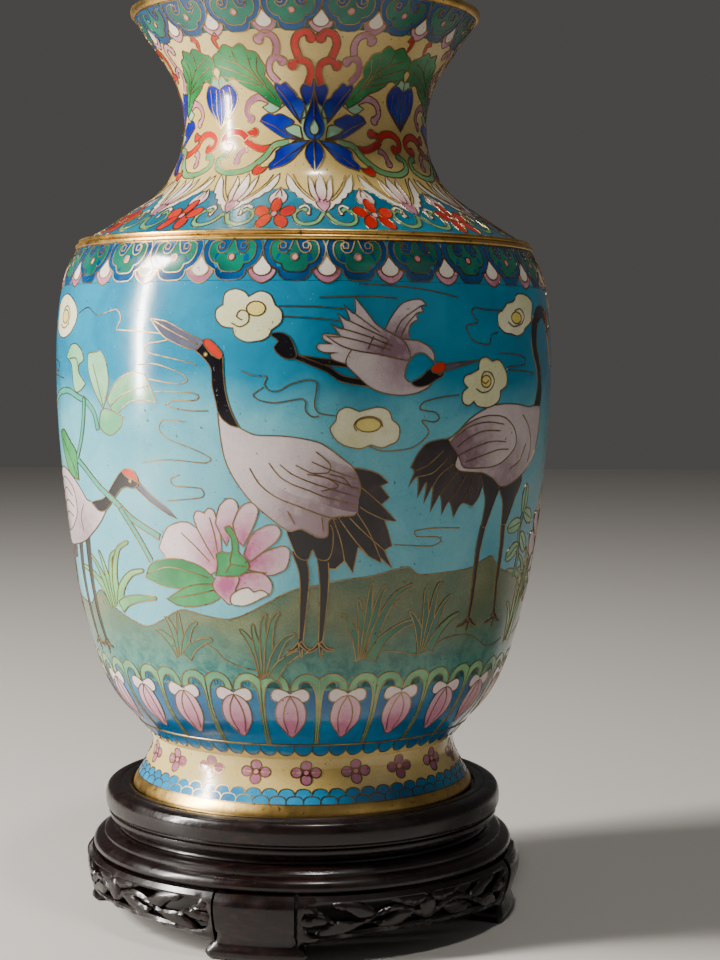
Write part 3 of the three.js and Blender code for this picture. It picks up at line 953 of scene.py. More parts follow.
for shift, flip, rise in ((0, 1, 0), (236, -1, 2), (384, 1, -3)):
    tracery(Stencil(belly, shift, flip, rise))
bank_lines = Stencil(belly)
for line in (
    [(-62, 68.5), (-53, 66), (-45, 65.5), (-40, 65), (-36, 63), (-33, 60), (-25, 57), (-17, 56), (-10, 55)],
    [(20, 60), (34, 63), (50, 61), (62, 66), (76, 66), (92, 60), (104, 62)],
    [(120, 62), (140, 66), (160, 60), (182, 64), (200, 62)],
    [(224, 66), (250, 62), (275, 70), (292, 66), (310, 60)],
    [(330, 60), (350, 64), (372, 60), (394, 62), (415, 58), (432, 60)],
):
    bank_lines.wire(line)
# The "shade" tufts are grass in painted shade, a darker copy of the grass green.
belly.begin("belly_grass", {"grass": grass_glass, "shade": grass_in_painted_shade_glass}, "sky_enamel")


def tuft(draw, root, tips, kind, width=4.6):
    """Long blades out of one root, each bowed over towards its tip."""
    x, z = root
    for reach, height, bow in tips:
        draw.scroll([
            (x + reach * 0.12, z), (x + reach * 0.22 + bow, z + height * 0.5),
            (x + reach * 0.58 + bow, z + height * 0.88),
            (x + reach, z + height),
        ], width, kind, 1.2)


for shift in (0, 208, 402):
    draw = Stencil(belly, shift)
    if shift != 402:
        tuft(draw, (-86, 76), [(-26, 13, -2), (-16, 18, -3), (-8, 20, -2), (4, 21, -2), (12, 25, -1),
            (19, 15, 1), (24, 5, 2)], "grass")
    tuft(draw, (-15, 53), [(-10, 18, -2), (-5, 20, -2), (0, 24, -1), (5, 25, 0), (11, 17, 1), (17, 11, 2)],
        "shade")
    tuft(draw, (25, 60), [(-10, 17, -2), (-4, 22, -1), (1, 28, 0), (6, 27, 1), (11, 21, 1), (17, 27, 1),
        (22, 14, 2)], "shade")
    tuft(draw, (52, 62), [(-9, 15, -2), (-3, 23, -1), (3, 25, 0), (9, 20, 1), (15, 13, 2)], "shade")
    tuft(draw, (-52, 60), [(-12, 9, -2), (-6, 14, -1), (0, 16, 0), (8, 13, 1), (14, 7, 2)], "shade")
tuft(Stencil(belly), (112, 60), [(-10, 16, -2), (-3, 25, -1), (4, 28, 1), (10, 20, 1)], "grass")

# ---------------------------------------------------------------- cranes
# Red-crowned cranes: white bodies with mauve-shaded wings, black necks and legs and
# ragged brown-black tails, every feather with its own wire.


def feet(draw, places, level, knee, toes):
    """Black toes spread from each foot of a crane."""
    for foot_x in places:
        for across, down in toes:
            toe = [(foot_x, level), (foot_x + across * 0.5, level - knee), (foot_x + across, level + down)]
            draw.scroll(toe, 1.5, "black", 0.6)


def standing_crane(draw):
    draw.cell([
        (17.5, 130.2, 1), (21.7, 129.6), (26.7, 127.9), (30.3, 124.8, 1), (27.5, 123.7, 1), (31, 119.5, 1),
        (28, 117, 1),
        (34.2, 110.8, 1), (29.5, 111.5, 1), (33, 102, 1), (30, 100.5, 1), (33.8, 93.5, 1), (28.5, 98, 1),
        (29.2, 95.8, 1),
        (24, 98.5, 1), (20, 101.7, 1), (18.3, 92.5, 1), (15, 97, 1), (11.7, 94, 1), (9.2, 94.2, 1),
        (8.3, 105), (9, 113),
    ], "tail")
    draw.wires(
        [(15, 127), (22, 122), (28, 117)], [(14, 121), (22, 115), (29.5, 111.5)],
        [(13, 116), (21, 108), (30, 100.5)],
        [(12, 113), (18, 105), (24, 98.5)], [(10.5, 112), (13.5, 104), (15, 97)],
        [(17, 117), (24, 107), (28.5, 98)],
    )
    for leg in (
        [(-2.4, 101), (0.2, 92), (-0.2, 80), (-1.2, 66)], [(6.5, 101), (7.6, 90), (7.3, 78), (6.6, 66)],
    ):
        draw.scroll(leg, 4.4, "black", 1.5)
    feet(draw, (-1.4, 6.6), 67, 2.5, ((-5, -3.4), (0.5, -5), (5.2, -2.8)))
    draw.cell([(-6, 109), (-4.6, 103), (-2.4, 98.5), (1.4, 97.4), (3.2, 101), (5, 97.8), (9, 97.6),
        (10.6, 103), (9.4, 110), (2, 111)], "black")
    draw.cell([
        (-30.5, 150), (-30, 143.5), (-29.3, 138), (-28.2, 132.7), (-25.8, 127.3), (-22.8, 122.7),
        (-19, 118), (-12, 112),
        (-5.5, 107.7), (-1, 108.4), (5, 105.5), (8.5, 106), (9.5, 112), (18.5, 113.6), (19.2, 117),
        (20, 124), (17.2, 130.4),
        (13.4, 133.5), (9.5, 136.5), (5, 139.2), (-2, 140.8), (-8.2, 141.5), (-17.4, 141.8),
        (-22.8, 144.3, 1),
        (-25.8, 145), (-28.9, 147.3),
    ], "plume", (4, 108, 30), 1)
    draw.cell([
        (-15.5, 130.8), (-12.8, 126.5), (-8.2, 123.1), (-3.5, 120.6), (1.8, 119.2), (7.2, 117.4),
        (13, 115.4), (19.4, 114.2, 1),
        (19.6, 119), (19.5, 125), (16.6, 130), (11, 132.4), (5, 134.6), (-3, 134.8), (-11, 133.8),
    ], "wing", (17, 118, 24), 2, False)
    draw.wires(
        [(-19.3, 130), (-15.8, 124.2), (-9.7, 119.6), (-2, 116.6), (5.7, 113.6), (12, 111.8)],
        [(-12.4, 131.9), (-8.9, 127.3), (-4.3, 124.4), (1, 122.5), (7, 120), (19.3, 116.8)],
        [(-8.6, 131.4), (-4.7, 128.2), (1, 125.6), (8, 123.2), (19.5, 119.6)],
        [(-3, 131.2), (2, 128.6), (9, 126.4), (19.5, 122.6)], [(2.6, 132.4), (8, 130), (18.6, 126.2)],
        [(4, 136), (9, 131.6), (8.4, 128.6), (3, 128.4)], [(1, 128), (8, 126.6), (12, 123.6), (6, 122)],
        [(9, 128), (14, 126.4), (17, 123)],
        [(-6, 114.8), (-3.6, 110.2)], [(6.4, 112.8), (7, 107.6)],
    )
    crane_head(draw, [
        (-35.5, 173.8), (-33.9, 171.2), (-31.6, 169.2), (-28.8, 170), (-28.4, 166.5), (-28.2, 162),
        (-27.4, 155.8),
        (-25.5, 149.6), (-22.8, 144.4, 1), (-25.8, 145), (-28.9, 147.3), (-30.5, 150, 1), (-31.2, 153.5),
        (-32.4, 158.8),
        (-32.9, 165), (-35, 168), (-38.6, 171.2, 1),
    ], (-34.9, 169.9))
    draw.cell([
        (-57.5, 182.5, 1), (-50.5, 181.5), (-44.3, 178.5), (-39, 176), (-35.5, 174.6, 1), (-36, 172.4),
        (-38.2, 171.3, 1),
        (-41.5, 171.9), (-46.6, 173.8), (-52, 176.5),
    ], "bill", None, 1)
    draw.wire([(-56, 181.8), (-47, 177.4), (-38, 173.4)])
    draw.cell([(-35.6, 175.2), (-33.2, 175), (-30.5, 172.7), (-28.7, 170), (-29.6, 168.4), (-31.6, 169.3),
        (-33.9, 171.2), (-35.7, 173.6)], "red", None, 3)


def crane_head(draw, neck, eye):
    draw.cell(neck, "black", None, 2)
    draw.cell(oval(*eye, 0.7, 0.7, 8), "yellow", None, 4)


def flying_crane(draw):
    for leg in ([(-4, 169.4), (2.5, 168.2), (8.3, 167.4), (17, 166.6)],
        [(-4, 169.6), (2, 167.2), (8, 164.8), (13, 161.6), (24, 159.8)]):
        draw.scroll(leg, 1.6, "black", 2.4)
    draw.cell([(-11.6, 177), (-8.4, 177.6), (-5.4, 176.3), (-3.6, 173), (-2.8, 169.4), (-5, 168.3),
        (-8.2, 169.4), (-10.6, 172.5), (-9, 174.6)], "black", None, 1)
    draw.cell([
        (17, 166.8), (12, 167.4), (9, 168.6), (8.6, 170.2), (11.4, 170.8, 1), (6.6, 170.8), (4.2, 172),
        (4.6, 173.8), (9.4, 173.8, 1),
        (6.4, 175.2), (6.2, 177), (9.4, 177.2), (17, 174.4),
    ], "plume")
    draw.cell([
        (28, 176), (28.6, 180), (31.7, 185), (35, 188.3), (40, 189.8), (42.9, 189.4), (44.2, 187.7, 1),
        (42, 187.4), (43, 185.4, 1),
        (40.2, 184.8), (40.6, 182.6, 1), (38, 181), (37.1, 178.8), (36.6, 174.6),
    ], "wing", (33, 176, 10), 1)
    for line in ([(31.5, 177), (34.6, 182.4), (42, 187.4)], [(34, 176.4), (36.4, 180.8), (40.2, 184.8)]):
        draw.wire(line)
    draw.cell([
        (14.2, 167.1), (18.3, 162.5), (23.3, 158.3), (29.2, 156.3), (35.8, 155.8), (41.7, 157.1),
        (45.8, 159.6), (44, 161.4),
        (38.2, 160.2, 1), (35.6, 162), (36.4, 166.6), (39.4, 170.2), (43, 170.6), (46.8, 167.6, 1),
        (47, 170.4), (45, 173),
        (40.8, 175), (36.7, 175.4), (31, 176), (24, 175.2), (17, 172.4),
    ], "plume", (36, 168, 15), 2)
    draw.cell([
        (7.4, 176.6, 1), (12.2, 176.4), (9, 180.6, 1), (13.4, 179), (11.4, 184.2, 1), (15.6, 181.8),
        (13.6, 187.4, 1), (17.4, 184.4),
        (17.4, 190.2, 1), (21.7, 185), (25, 180.8), (29.2, 178.3), (35, 175), (37.1, 171.7), (37.4, 168.4),
        (33.3, 168.6),
        (26, 170.2), (18, 171.4), (12, 173.4),
    ], "wing", (31, 171, 17), 3)
    draw.wires(
        [(12.2, 176.4), (20, 174.6), (30, 171.8)], [(13.4, 179), (21, 176.8), (31, 173.2)],
        [(15.6, 181.8), (22, 178.8), (29, 175.6)], [(17.4, 184.4), (21.4, 181.4), (26.2, 178)],
        [(22, 172), (24, 176.6)], [(27, 171.4), (29.6, 175.4)],
    )
    draw.cell([
        (38.2, 160.2), (41.7, 162.2), (45.4, 165.2), (47.4, 163.8), (49.6, 163), (51.2, 164.6),
        (50.6, 162.6), (47.5, 161.2),
        (45, 159.6), (40.8, 158.8),
    ], "black", None, 3)
    draw.cell(oval(48.8, 165.6, 3.1, 1.9, 12, 0.3), "red", None, 4)
    draw.cell([(51.2, 166.6), (58.3, 167.6), (67.4, 168.3, 1), (58.3, 166), (51.3, 164.6)], "bill", None, 3)


def wading_crane(draw):
    """The large crane on the right, its neck turned back over its shoulder."""
    draw.cell([
        (57, 141), (53.8, 140.2), (48.3, 139.6), (44.2, 138.3), (40.8, 134.2), (38.8, 130, 1),
        (40.4, 128.8), (38.3, 123.3, 1),
        (41.7, 126.7), (42.1, 119.2, 1), (45.4, 124.6), (45, 117.2, 1), (48.3, 123.2), (47.9, 113.8, 1),
        (51.7, 120),
        (53, 112.6, 1), (56, 117.4), (58.6, 111.4, 1), (62, 116.4), (67.5, 115, 1), (70.8, 119),
        (72, 126.7), (64, 134),
    ], "tail")
    draw.wires(
        [(52, 136), (46, 131), (40.4, 128.8)], [(54, 133), (48, 128), (41.7, 126.7)],
        [(57, 131), (51, 127), (48.3, 123.2)],
        [(60, 129), (55, 124), (51.7, 120)], [(64, 128), (60, 122), (56, 117.4)],
        [(67, 127), (65, 121), (62, 116.4)],
    )
    draw.cell([(71, 128), (74.4, 117), (73.6, 106.7), (75.6, 106), (79.4, 115), (84, 127.4)], "black")
    draw.cell([(81, 126), (85.6, 115), (86.4, 106.4), (89, 106.4), (93.4, 115), (98, 125)], "black")
    for shin in ([(74.6, 107), (73.2, 98), (73.4, 84), (73.4, 72)], [(87.6, 107), (88.4, 98), (88.6, 84),
        (91, 72)]):
        draw.scroll(shin, 2.8, "black", 1.5)
    feet(draw, (73.4, 91), 73, 2.2, ((-5.6, -3), (0, -5), (5.4, -3.4)))
    draw.cell([
        (53.8, 139.8, 1), (58.3, 142.9), (63.3, 147.1), (68.3, 149.6), (75, 151.7), (83.3, 152.3),
        (91.7, 151.9), (100, 150.8),
        (106, 151.4), (111, 151), (112.4, 146), (111, 139), (108, 133), (102, 127.6), (95, 124.2),
        (88, 122), (82.5, 121.6),
        (78, 124.6), (72, 127), (66.7, 127.5), (60, 128.3), (57.4, 130.4), (58.2, 134),
    ], "plume", (84, 120, 26), 1)
    draw.cell([
        (54.6, 138.6, 1), (60, 144), (67, 147.2), (75, 148.2), (83, 147), (89.4, 142.6), (91, 137),
        (86, 132.6), (79, 129.6),
        (70, 129), (61.6, 129.6), (59, 133.4),
    ], "wing", (60, 134, 24), 2)
    draw.wires(
        [(58, 137), (64, 140.6), (71, 142.6), (80, 142.4)], [(59, 134), (66, 136.6), (75, 138.6),
        (84, 138.2)],
        [(62, 131.4), (70, 133.4), (79, 135.4), (86, 135.4)], [(57, 140.4), (63, 144.2), (72, 145.8),
        (82, 144.8)],
        [(95, 148), (101, 143), (104, 136), (102, 130)], [(88, 128), (95, 131), (99, 137)],
    )
    crane_head(draw, [
        (105, 151.2, 1), (108, 158), (106.6, 165), (102.6, 171.6), (101.4, 178), (104, 184.4), (110, 188.4),
        (117, 188.6),
        (122.4, 185), (124.4, 180.4), (121, 179.4), (118.8, 182.6), (114.6, 184.6), (110, 183.4),
        (106.6, 179.4),
        (106.6, 173.8), (110.4, 167), (112.6, 158.6), (111.6, 151, 1),
    ], (120.6, 183.4))
    draw.cell([(119.8, 187.4), (123, 185.4), (125.6, 181.6), (124, 180.6), (121.6, 183.2), (118.6, 184.8)],
        "red", None, 3)
    draw.cell([(121, 179.6, 1), (124.6, 180.6, 1), (128, 172), (130.6, 163.4, 1), (125.4, 171.4)], "bill",
        None, 1)


def bending_crane(draw):
    """A crane stooping to drink, its body running on round the vase."""
    draw.cell([
        (-119, 99), (-128, 99), (-140, 98), (-148, 102), (-153, 106, 1), (-149, 97.6), (-154, 92, 1),
        (-146, 93), (-149, 85, 1),
        (-141, 89.4), (-141.6, 81, 1), (-134.4, 88), (-131, 82.4, 1), (-127, 91), (-121, 92),
    ], "tail")
    for feather in ([(-126, 97), (-138, 95), (-149, 97.6)], [(-125, 96), (-136, 92), (-146, 93)],
        [(-124, 95), (-133, 91), (-141, 89.4)]):
        draw.wire(feather)
    for leg in ([(-103, 101), (-104.6, 88), (-105, 72), (-103, 60)], [(-112, 99), (-114.6, 86),
        (-114.6, 72), (-113.4, 60)]):
        draw.scroll(leg, 4.2, "black", 1.6)
    feet(draw, (-103.2, -113.4), 61.6, 2, ((-5, -3), (0.4, -5), (5.2, -2.6)))
    draw.cell([
        (-94.8, 114.6), (-99.1, 115.4), (-103.5, 118.9), (-109.6, 122.4), (-118.3, 125.4), (-127, 126.4),
        (-136, 124.4),
        (-144, 119), (-149, 112), (-150, 105), (-144, 99.6), (-133, 96.2), (-120, 96.7), (-105.2, 99.3),
        (-96.5, 103.3),
        (-89.6, 107.6), (-84.3, 112.8, 1), (-87.8, 112.2), (-91.3, 113),
    ], "plume", (-104, 98, 26), 1)
    draw.cell([
        (-112, 118), (-119, 121.6), (-127, 122.4), (-136, 120), (-144, 113.6), (-151, 104, 1), (-140, 101),
        (-128, 101.6),
        (-118, 104.6), (-111, 110),
    ], "wing", (-146, 106, 26), 2)
    draw.wires(
        [(-115, 115.6), (-124, 118.4), (-134, 116), (-148, 107)], [(-115, 111.6), (-124, 113.6),
        (-134, 111.4), (-146, 105)],
        [(-117, 107.6), (-126, 109), (-136, 106.6), (-144, 103)], [(-103, 113), (-107, 108), (-106, 103)],
    )
    crane_head(draw, [
        (-65.2, 122.4, 1), (-67.8, 121.3), (-71.3, 121.6), (-74.8, 120.4), (-79.1, 116.6), (-84.3, 112.6),
        (-87.8, 111.6),
        (-91.3, 112.2), (-95, 114.6, 1), (-91.3, 115.4), (-86.1, 116.4), (-82.6, 118.6), (-79.1, 122),
        (-76.1, 125),
        (-72.6, 127.6), (-68.6, 127.6), (-65.4, 124.6),
    ], (-69, 123.9))
    draw.cell([(-48.3, 111.1, 1), (-53, 115.2), (-59.1, 119), (-64.6, 123.6, 1), (-66.6, 121.6, 1),
        (-60, 116.8), (-54, 113.4)], "bill", None, 1)
    draw.cell([(-72.8, 127.4), (-69.6, 128.4), (-66.3, 126.9), (-64.8, 123.6), (-67.8, 124.6),
        (-70.9, 125.4)], "red", None, 3)


front = Stencil(belly)
belly.begin("cranes", {
    "black": black_glass, "tail": tail_glass, "plume": plume_glass, "wing": wing_glass, "red": red_glass,
    "bill": bill_glass, "yellow": yellow_glass,
}, "sky_enamel")
standing_crane(front)
flying_crane(front)
wading_crane(front)
bending_crane(front)
standing_crane(Stencil(belly, 290, -1))
flying_crane(Stencil(belly, 292, -1))
standing_crane(Stencil(belly, 405, 1, -6, 0.92, (0, 66)))
flying_crane(Stencil(belly, 392))

# ---------------------------------------------------------------- lotus, leaves and clouds
# A large pink lotus with green leaves behind the first crane, reeds on the left, and
# cream clouds with yellow hearts drifting in the sky among curling wires.


def lotus(draw):
    heart = (-25, 98, 22)
    draw.cell([
        (-57.6, 100, 1), (-55.7, 103.7), (-53, 107.6), (-47.8, 109.8), (-43.5, 109.8), (-40, 107.6, 1),
        (-41.4, 111.6), (-40, 114.2),
        (-37, 113.5, 1), (-35.6, 115.2), (-33.4, 114.8), (-32.4, 112, 1), (-31, 106), (-31, 99), (-33, 93),
        (-38, 90.8), (-46, 92), (-53, 95),
    ], "petal", heart)
    for line in ([(-40, 107.6), (-37, 102), (-34, 97)], [(-47, 106), (-41, 101), (-36, 96)],
        [(-35, 112), (-33.4, 106), (-32.6, 100)]):
        draw.wire(line)
    draw.cell([(-32.8, 110, 1), (-31.2, 115.8), (-28.2, 118.8), (-25.5, 118.8), (-23.9, 116.5),
        (-24.6, 112.7), (-26.4, 108), (-29, 102, 1)], "petal", heart, 1)
    draw.cell([(-26.2, 110, 1), (-24.3, 114.2), (-22, 116.9), (-18.9, 117.7), (-16.6, 115.4), (-17, 112.7),
        (-19.4, 107.3), (-22.6, 102, 1), (-25, 105)], "petal", heart, 1)
    draw.cell([(-22.4, 99, 1), (-20.5, 104.2), (-18.2, 107.3), (-15.8, 108.6), (-12.8, 109.8),
        (-9.7, 109.4), (-8.5, 106.9), (-10.5, 103.6), (-15.8, 99.6), (-20, 96.4, 1)], "petal", heart, 2)
    draw.cell([(-20.6, 96.4, 1), (-15.8, 99.6), (-8.2, 102.3), (-5.5, 101.2), (-5.3, 98), (-6.6, 94.2),
        (-9, 92.7), (-12.8, 91.5), (-18, 92.6), (-22, 93.4, 1)], "petal", heart, 1)
    draw.cell([(-25, 91.5, 1), (-20, 92.6), (-15.4, 92.3), (-12.7, 90), (-11.9, 87.3), (-13.5, 84.4),
        (-17.7, 85.8), (-22, 85.4), (-26, 86.6)], "petal", heart, 2)
    draw.cell([(-35.2, 88.2), (-33, 91), (-29.2, 92), (-24.6, 90.6), (-26, 86.4), (-28.6, 80.6),
        (-31.5, 82.6), (-34.6, 85.4)], "petal", (-30, 88, 11), 3)
    draw.cell([(-28, 80.8), (-28, 83.8), (-24.6, 86.2), (-20.8, 86.9), (-19.2, 85.4), (-16.2, 86.2),
        (-13.5, 84.6), (-16.2, 83.2), (-20, 81.2), (-23.8, 80.2)], "white", None, 4)
    draw.wire([(-32, 91), (-27, 95), (-22, 93.6), (-14, 92.4)])
    draw.cell([
        (-29.3, 108.6, 1), (-27.4, 109.2), (-25.8, 106.5), (-24.6, 104.2), (-24.4, 99.8), (-22, 97.6),
        (-20.6, 94.4), (-24.6, 91.2),
        (-33.8, 91, 1), (-32.7, 95.4), (-33.2, 98.8), (-30.8, 99.8), (-27.2, 99.6), (-27, 104.6),
        (-28.9, 107.2),
    ], "leaf", None, 5)
    draw.wire([(-27, 99.4), (-27.6, 95.6), (-22, 94.8)])
    draw.wire([(-27.6, 95.6), (-29.6, 92.4)])


def lotus_leaves(draw):
    draw.cell([(-65.8, 88.5, 1), (-62.3, 93.8), (-54.6, 96.2), (-47, 96.2), (-39.2, 93.8), (-34.6, 90, 1),
        (-35.6, 87.6), (-43, 87), (-49.2, 85.5), (-57.7, 86)], "leaf", None, 1)
    draw.wire([(-64, 90), (-55, 93), (-46, 92.3), (-36.9, 90)])
    draw.cell([(-56.2, 81.2, 1), (-50, 84.6), (-43.8, 87), (-34.6, 87.6), (-31.6, 84.2), (-36.2, 80.8),
        (-44.6, 79), (-51.5, 79.2)], "leaf", None, 2)
    draw.wire([(-54, 81.6), (-44, 83.4), (-35, 85.6)])


def reeds(draw):
    draw.scroll([(-57, 104), (-70, 110), (-78, 115.4), (-88, 121), (-98, 127.4), (-107, 131.6)], 2.2, "stem")
    draw.scroll([(-76, 113.6), (-68, 104), (-62, 95)], 2.0, "stem")
    draw.scroll([(-86, 142), (-88, 148), (-93, 152), (-100, 153.8), (-110, 156), (-122, 155), (-140, 150)],
        2.2, "stem")
    draw.scroll([(-104, 131), (-99, 138), (-96, 146), (-95, 153)], 2.0, "stem")
    draw.cell([(-91.5, 169.8), (-87.8, 170.4), (-83, 171, 1), (-79.6, 166.7), (-78.4, 159.8),
        (-79.6, 154.6), (-82, 150, 1), (-86.1, 154.6), (-89.6, 159.8), (-91.6, 165)], "pale", None, 1)
    draw.cell([(-79.6, 153, 1), (-75.7, 158.6), (-70.4, 162), (-65.2, 163.4), (-60, 162.6, 1), (-57, 157),
        (-54.8, 152.6, 1), (-61.7, 153.4), (-67.8, 152.4), (-75, 147.4, 1)], "pale", None, 1)
    draw.cell([(-84.8, 144.1), (-83, 149.2), (-79.1, 149.8), (-71, 147.2, 1), (-72, 144), (-75.7, 141.1),
        (-79.1, 140.2), (-82.8, 141.6)], "pale", None, 2)
    draw.cell([(-111.3, 168.5, 1), (-107, 172.8), (-101.7, 173.6), (-96.5, 171.1), (-95, 167.6),
        (-98.8, 165.8), (-98.6, 162.6), (-93.4, 158.8, 1), (-97, 156.6), (-101.7, 155.6), (-104.4, 158.9),
        (-105.6, 165.6)], "pale", None, 1)
    draw.cell([(-125, 139.8, 1), (-118.3, 141), (-109.6, 136.4), (-104.6, 132.8), (-104.6, 127),
        (-104.8, 122.4, 1), (-111.3, 123.6), (-118.3, 127.6)], "leaf", None, 1)
    draw.wires(
        [(-88, 166), (-85, 159), (-82, 151)], [(-78, 150.6), (-70, 155.6), (-58, 158.6)],
        [(-83, 145), (-77, 145.4), (-72, 145.8)],
        [(-108, 168), (-101, 168), (-99, 163)], [(-121, 137.6), (-113, 131.6), (-106, 124.6)],
    )


def orchid(draw):
    """The yellow-green spray behind the wading crane."""
    draw.scroll([(103, 86), (104, 94), (102, 104), (105, 114)], 1.8, "stem")
    for u, v, turn in ((98, 96, 0.5), (108, 99, 2.4), (97, 106, 0.2), (110, 109, 2.8), (104, 116, 1.5)):
        draw.cell(oval(u, v, 5.6, 2.7, 14, turn), "pale", None, 1)
        draw.wire([(u - 4.4 * math.cos(turn), v - 4.4 * math.sin(turn)),
            (u + 4.4 * math.cos(turn), v + 4.4 * math.sin(turn))])


CLOUDS = (
    ([(-31.2, 185.8), (-28.9, 187.3, 1), (-28.4, 191.2), (-25.1, 192.9), (-21.2, 191.9), (-19.7, 190.2, 1),
    (-15.8, 192.1),
      (-12, 190.8), (-10.3, 187.3, 1), (-8, 185), (-8.2, 181.2), (-11.6, 178.5, 1), (-12.4, 176.4),
      (-15.1, 174.8), (-20.5, 174.4),
      (-24.3, 176.5), (-25.1, 179.2, 1), (-28.9, 179.8), (-31.4, 182.7)],
     [(-25.6, 181), (-22.6, 179.6), (-19.6, 181.4), (-19.8, 184.6), (-22.6, 185.4), (-23.8, 183.2),
     (-21.8, 182)], (-17, 186, 3.4, 2.6)),
    ([(8.9, 144.2), (10.9, 146.9, 1), (11.6, 150), (14.9, 151.6), (19, 150, 1), (25.7, 151.6),
    (29.7, 150.4), (30.9, 147.3, 1),
      (33.6, 145), (34, 142.2), (33, 139.4), (30.6, 138.4, 1), (27.6, 137.2), (23.4, 138.4, 1), (19.5, 137),
      (14.6, 137.9),
      (11.6, 139.6), (9.7, 141.9)],
     [(27.6, 144.6), (26.6, 147.2), (22.8, 148.4), (18.8, 147.4), (17.2, 145), (18.4, 143.2)],
     (22.4, 145.4, 4.6, 2.5)),
    ([(60.4, 162.5), (63.3, 163.4), (67, 165, 1), (67.5, 168.3), (70.8, 169.4), (74.2, 167.9, 1),
    (77.5, 168.5), (80.6, 166.3),
      (83, 162.5), (82.5, 159), (79, 157.1, 1), (78.6, 154), (75.8, 152), (71.7, 151), (66.7, 151.7),
      (65, 153.4, 1),
      (62.4, 151.9), (59.6, 153.3), (59.6, 156.7), (61.9, 158.4, 1), (59.8, 160.4)],
     [(66, 158), (69, 156.6), (73, 157.4), (75.4, 160.4), (73.6, 163.6), (70, 164), (68.4, 161.4),
     (70.6, 159.8), (72.4, 161)], (71, 160.6, 2.6, 2.2)),
    ([(77.9, 185), (80.8, 186.5), (84, 189.2, 1), (89, 190.2), (91.7, 192.6), (96, 193.1), (101, 192.2),
    (104.4, 189.8),
      (103.2, 186.4, 1), (101.6, 182.8), (95.6, 180), (94.6, 178.6), (90, 177.3), (85.8, 178.1, 1),
      (81.7, 178.4), (78.1, 181)],
     [(84, 182.4), (87.6, 180.8), (93.6, 182), (96, 185), (93.2, 187.4), (89, 186.6)], (90, 184, 3.6, 2.2)),
    ([(-127, 190), (-119, 192.4), (-112, 192), (-105, 189, 1), (-101.6, 185), (-103, 181, 1), (-108, 177.6),
    (-115, 176), (-122, 176.6, 1),
      (-127.6, 179), (-129, 184)],
     [(-121, 181), (-116, 179.6), (-110.6, 181.4), (-109.4, 185.4), (-113.4, 188), (-118, 186.8)],
     (-115, 184, 4.2, 2.6)),
)


def cloud(draw, kind):
    edge, curl, core = CLOUDS[kind]
    draw.cell(edge, "cloud")
    draw.cell(oval(*core), "yellow", None, 1)
    draw.wire(curl)


belly.begin("lotus_leaves_and_clouds", {
    "petal": petal_glass, "white": white_glass, "leaf": leaf_glass, "stem": stem_glass,
    "pale": pale_leaf_glass,
    "cloud": cloud_glass, "yellow": yellow_glass,
}, "sky_enamel")
reeds(front)
lotus_leaves(front)
lotus(front)
orchid(front)
for kind in range(5):
    cloud(front, kind)
reeds(Stencil(belly, 112, -1))
for shift, flip in ((112, -1), (384, 1)):
    lotus_leaves(Stencil(belly, shift, flip))
    lotus(Stencil(belly, shift, flip))
back_clouds = ((3, 236, -1, 4), (0, 212, 1, 1), (1, 318, 1, 0), (2, 296, 1, 22), (4, 554, 1, -42))
for kind, shift, flip, rise in back_clouds:
    cloud(Stencil(belly, shift, flip, rise), kind)
belly.make()

# ---------------------------------------------------------------- lappet border
# Twenty-four upright panels round the foot of the belly: green scrolled frames on
# blue with a pink magnolia bud hanging in each, over a hem of small blue scallops.
LAPPETS = 24
frame_glass = glass("lappet_frame_glass", tint(112, 166, 112), tint(140, 186, 132), tint(84, 148, 108), 50)
bud_glass = blushed("magnolia_glass", tint(198, 148, 164), tint(208, 168, 176), tint(178, 110, 136))
bud_white = glass("magnolia_white_glass", tint(220, 198, 196), tint(226, 210, 206))
lappets = Band(belly_wall, 2.6)
lappets.begin("lappet_border", {
    "ground": lappet_glass, "frame": frame_glass, "white": bud_white, "bud": bud_glass, "hem": lappet_glass,
}, "lappet_enamel")
panel = BELLY_TURN / LAPPETS


def lappet(draw):
    """One panel, centred on 0, from post to post."""
    half = panel / 2
    for side in (-1, 1):
        draw.cell([(side * p[0], *p[1:]) for p in [
            (half, 25.8, 1), (half - 1.1, 25.8, 1), (half - 1.1, 44), (half - 2.2, 49.4), (half - 5, 52),
            (half - 8.4, 51.2), (half - 9, 48.4),
            (half - 10.6, 47.8), (half - 12.4, 48.6, 1), (half - 11.6, 51.4), (half - 9.4, 53.8),
            (half - 6, 54.9), (half - 2.6, 54.4), (half, 52.6, 1),
        ]], "frame", None, 1)
        draw.cell([(side * p[0], *p[1:]) for p in [(0.3, 47.4), (2.6, 48.6), (5.8, 49.2), (8, 47.8),
            (8.2, 45.4), (6.4, 44.2), (3.2, 44.4), (0.3, 45.4)]], "white", None, 2)
    draw.cell([(0, 46.4), (3, 45.6), (5.8, 43.2), (7, 39.4), (6.4, 35.6), (3.4, 31.8), (0, 29.2),
        (-3.4, 31.8), (-6.4, 35.6), (-7, 39.4), (-5.8, 43.2), (-3, 45.6)], "bud", (0, 33, 11), 3)
    for side in (-1, 1):
        draw.wire([(0, 46.2), (side * 2.6, 41.8), (side * 3.3, 36.6), (side * 1.6, 31)])


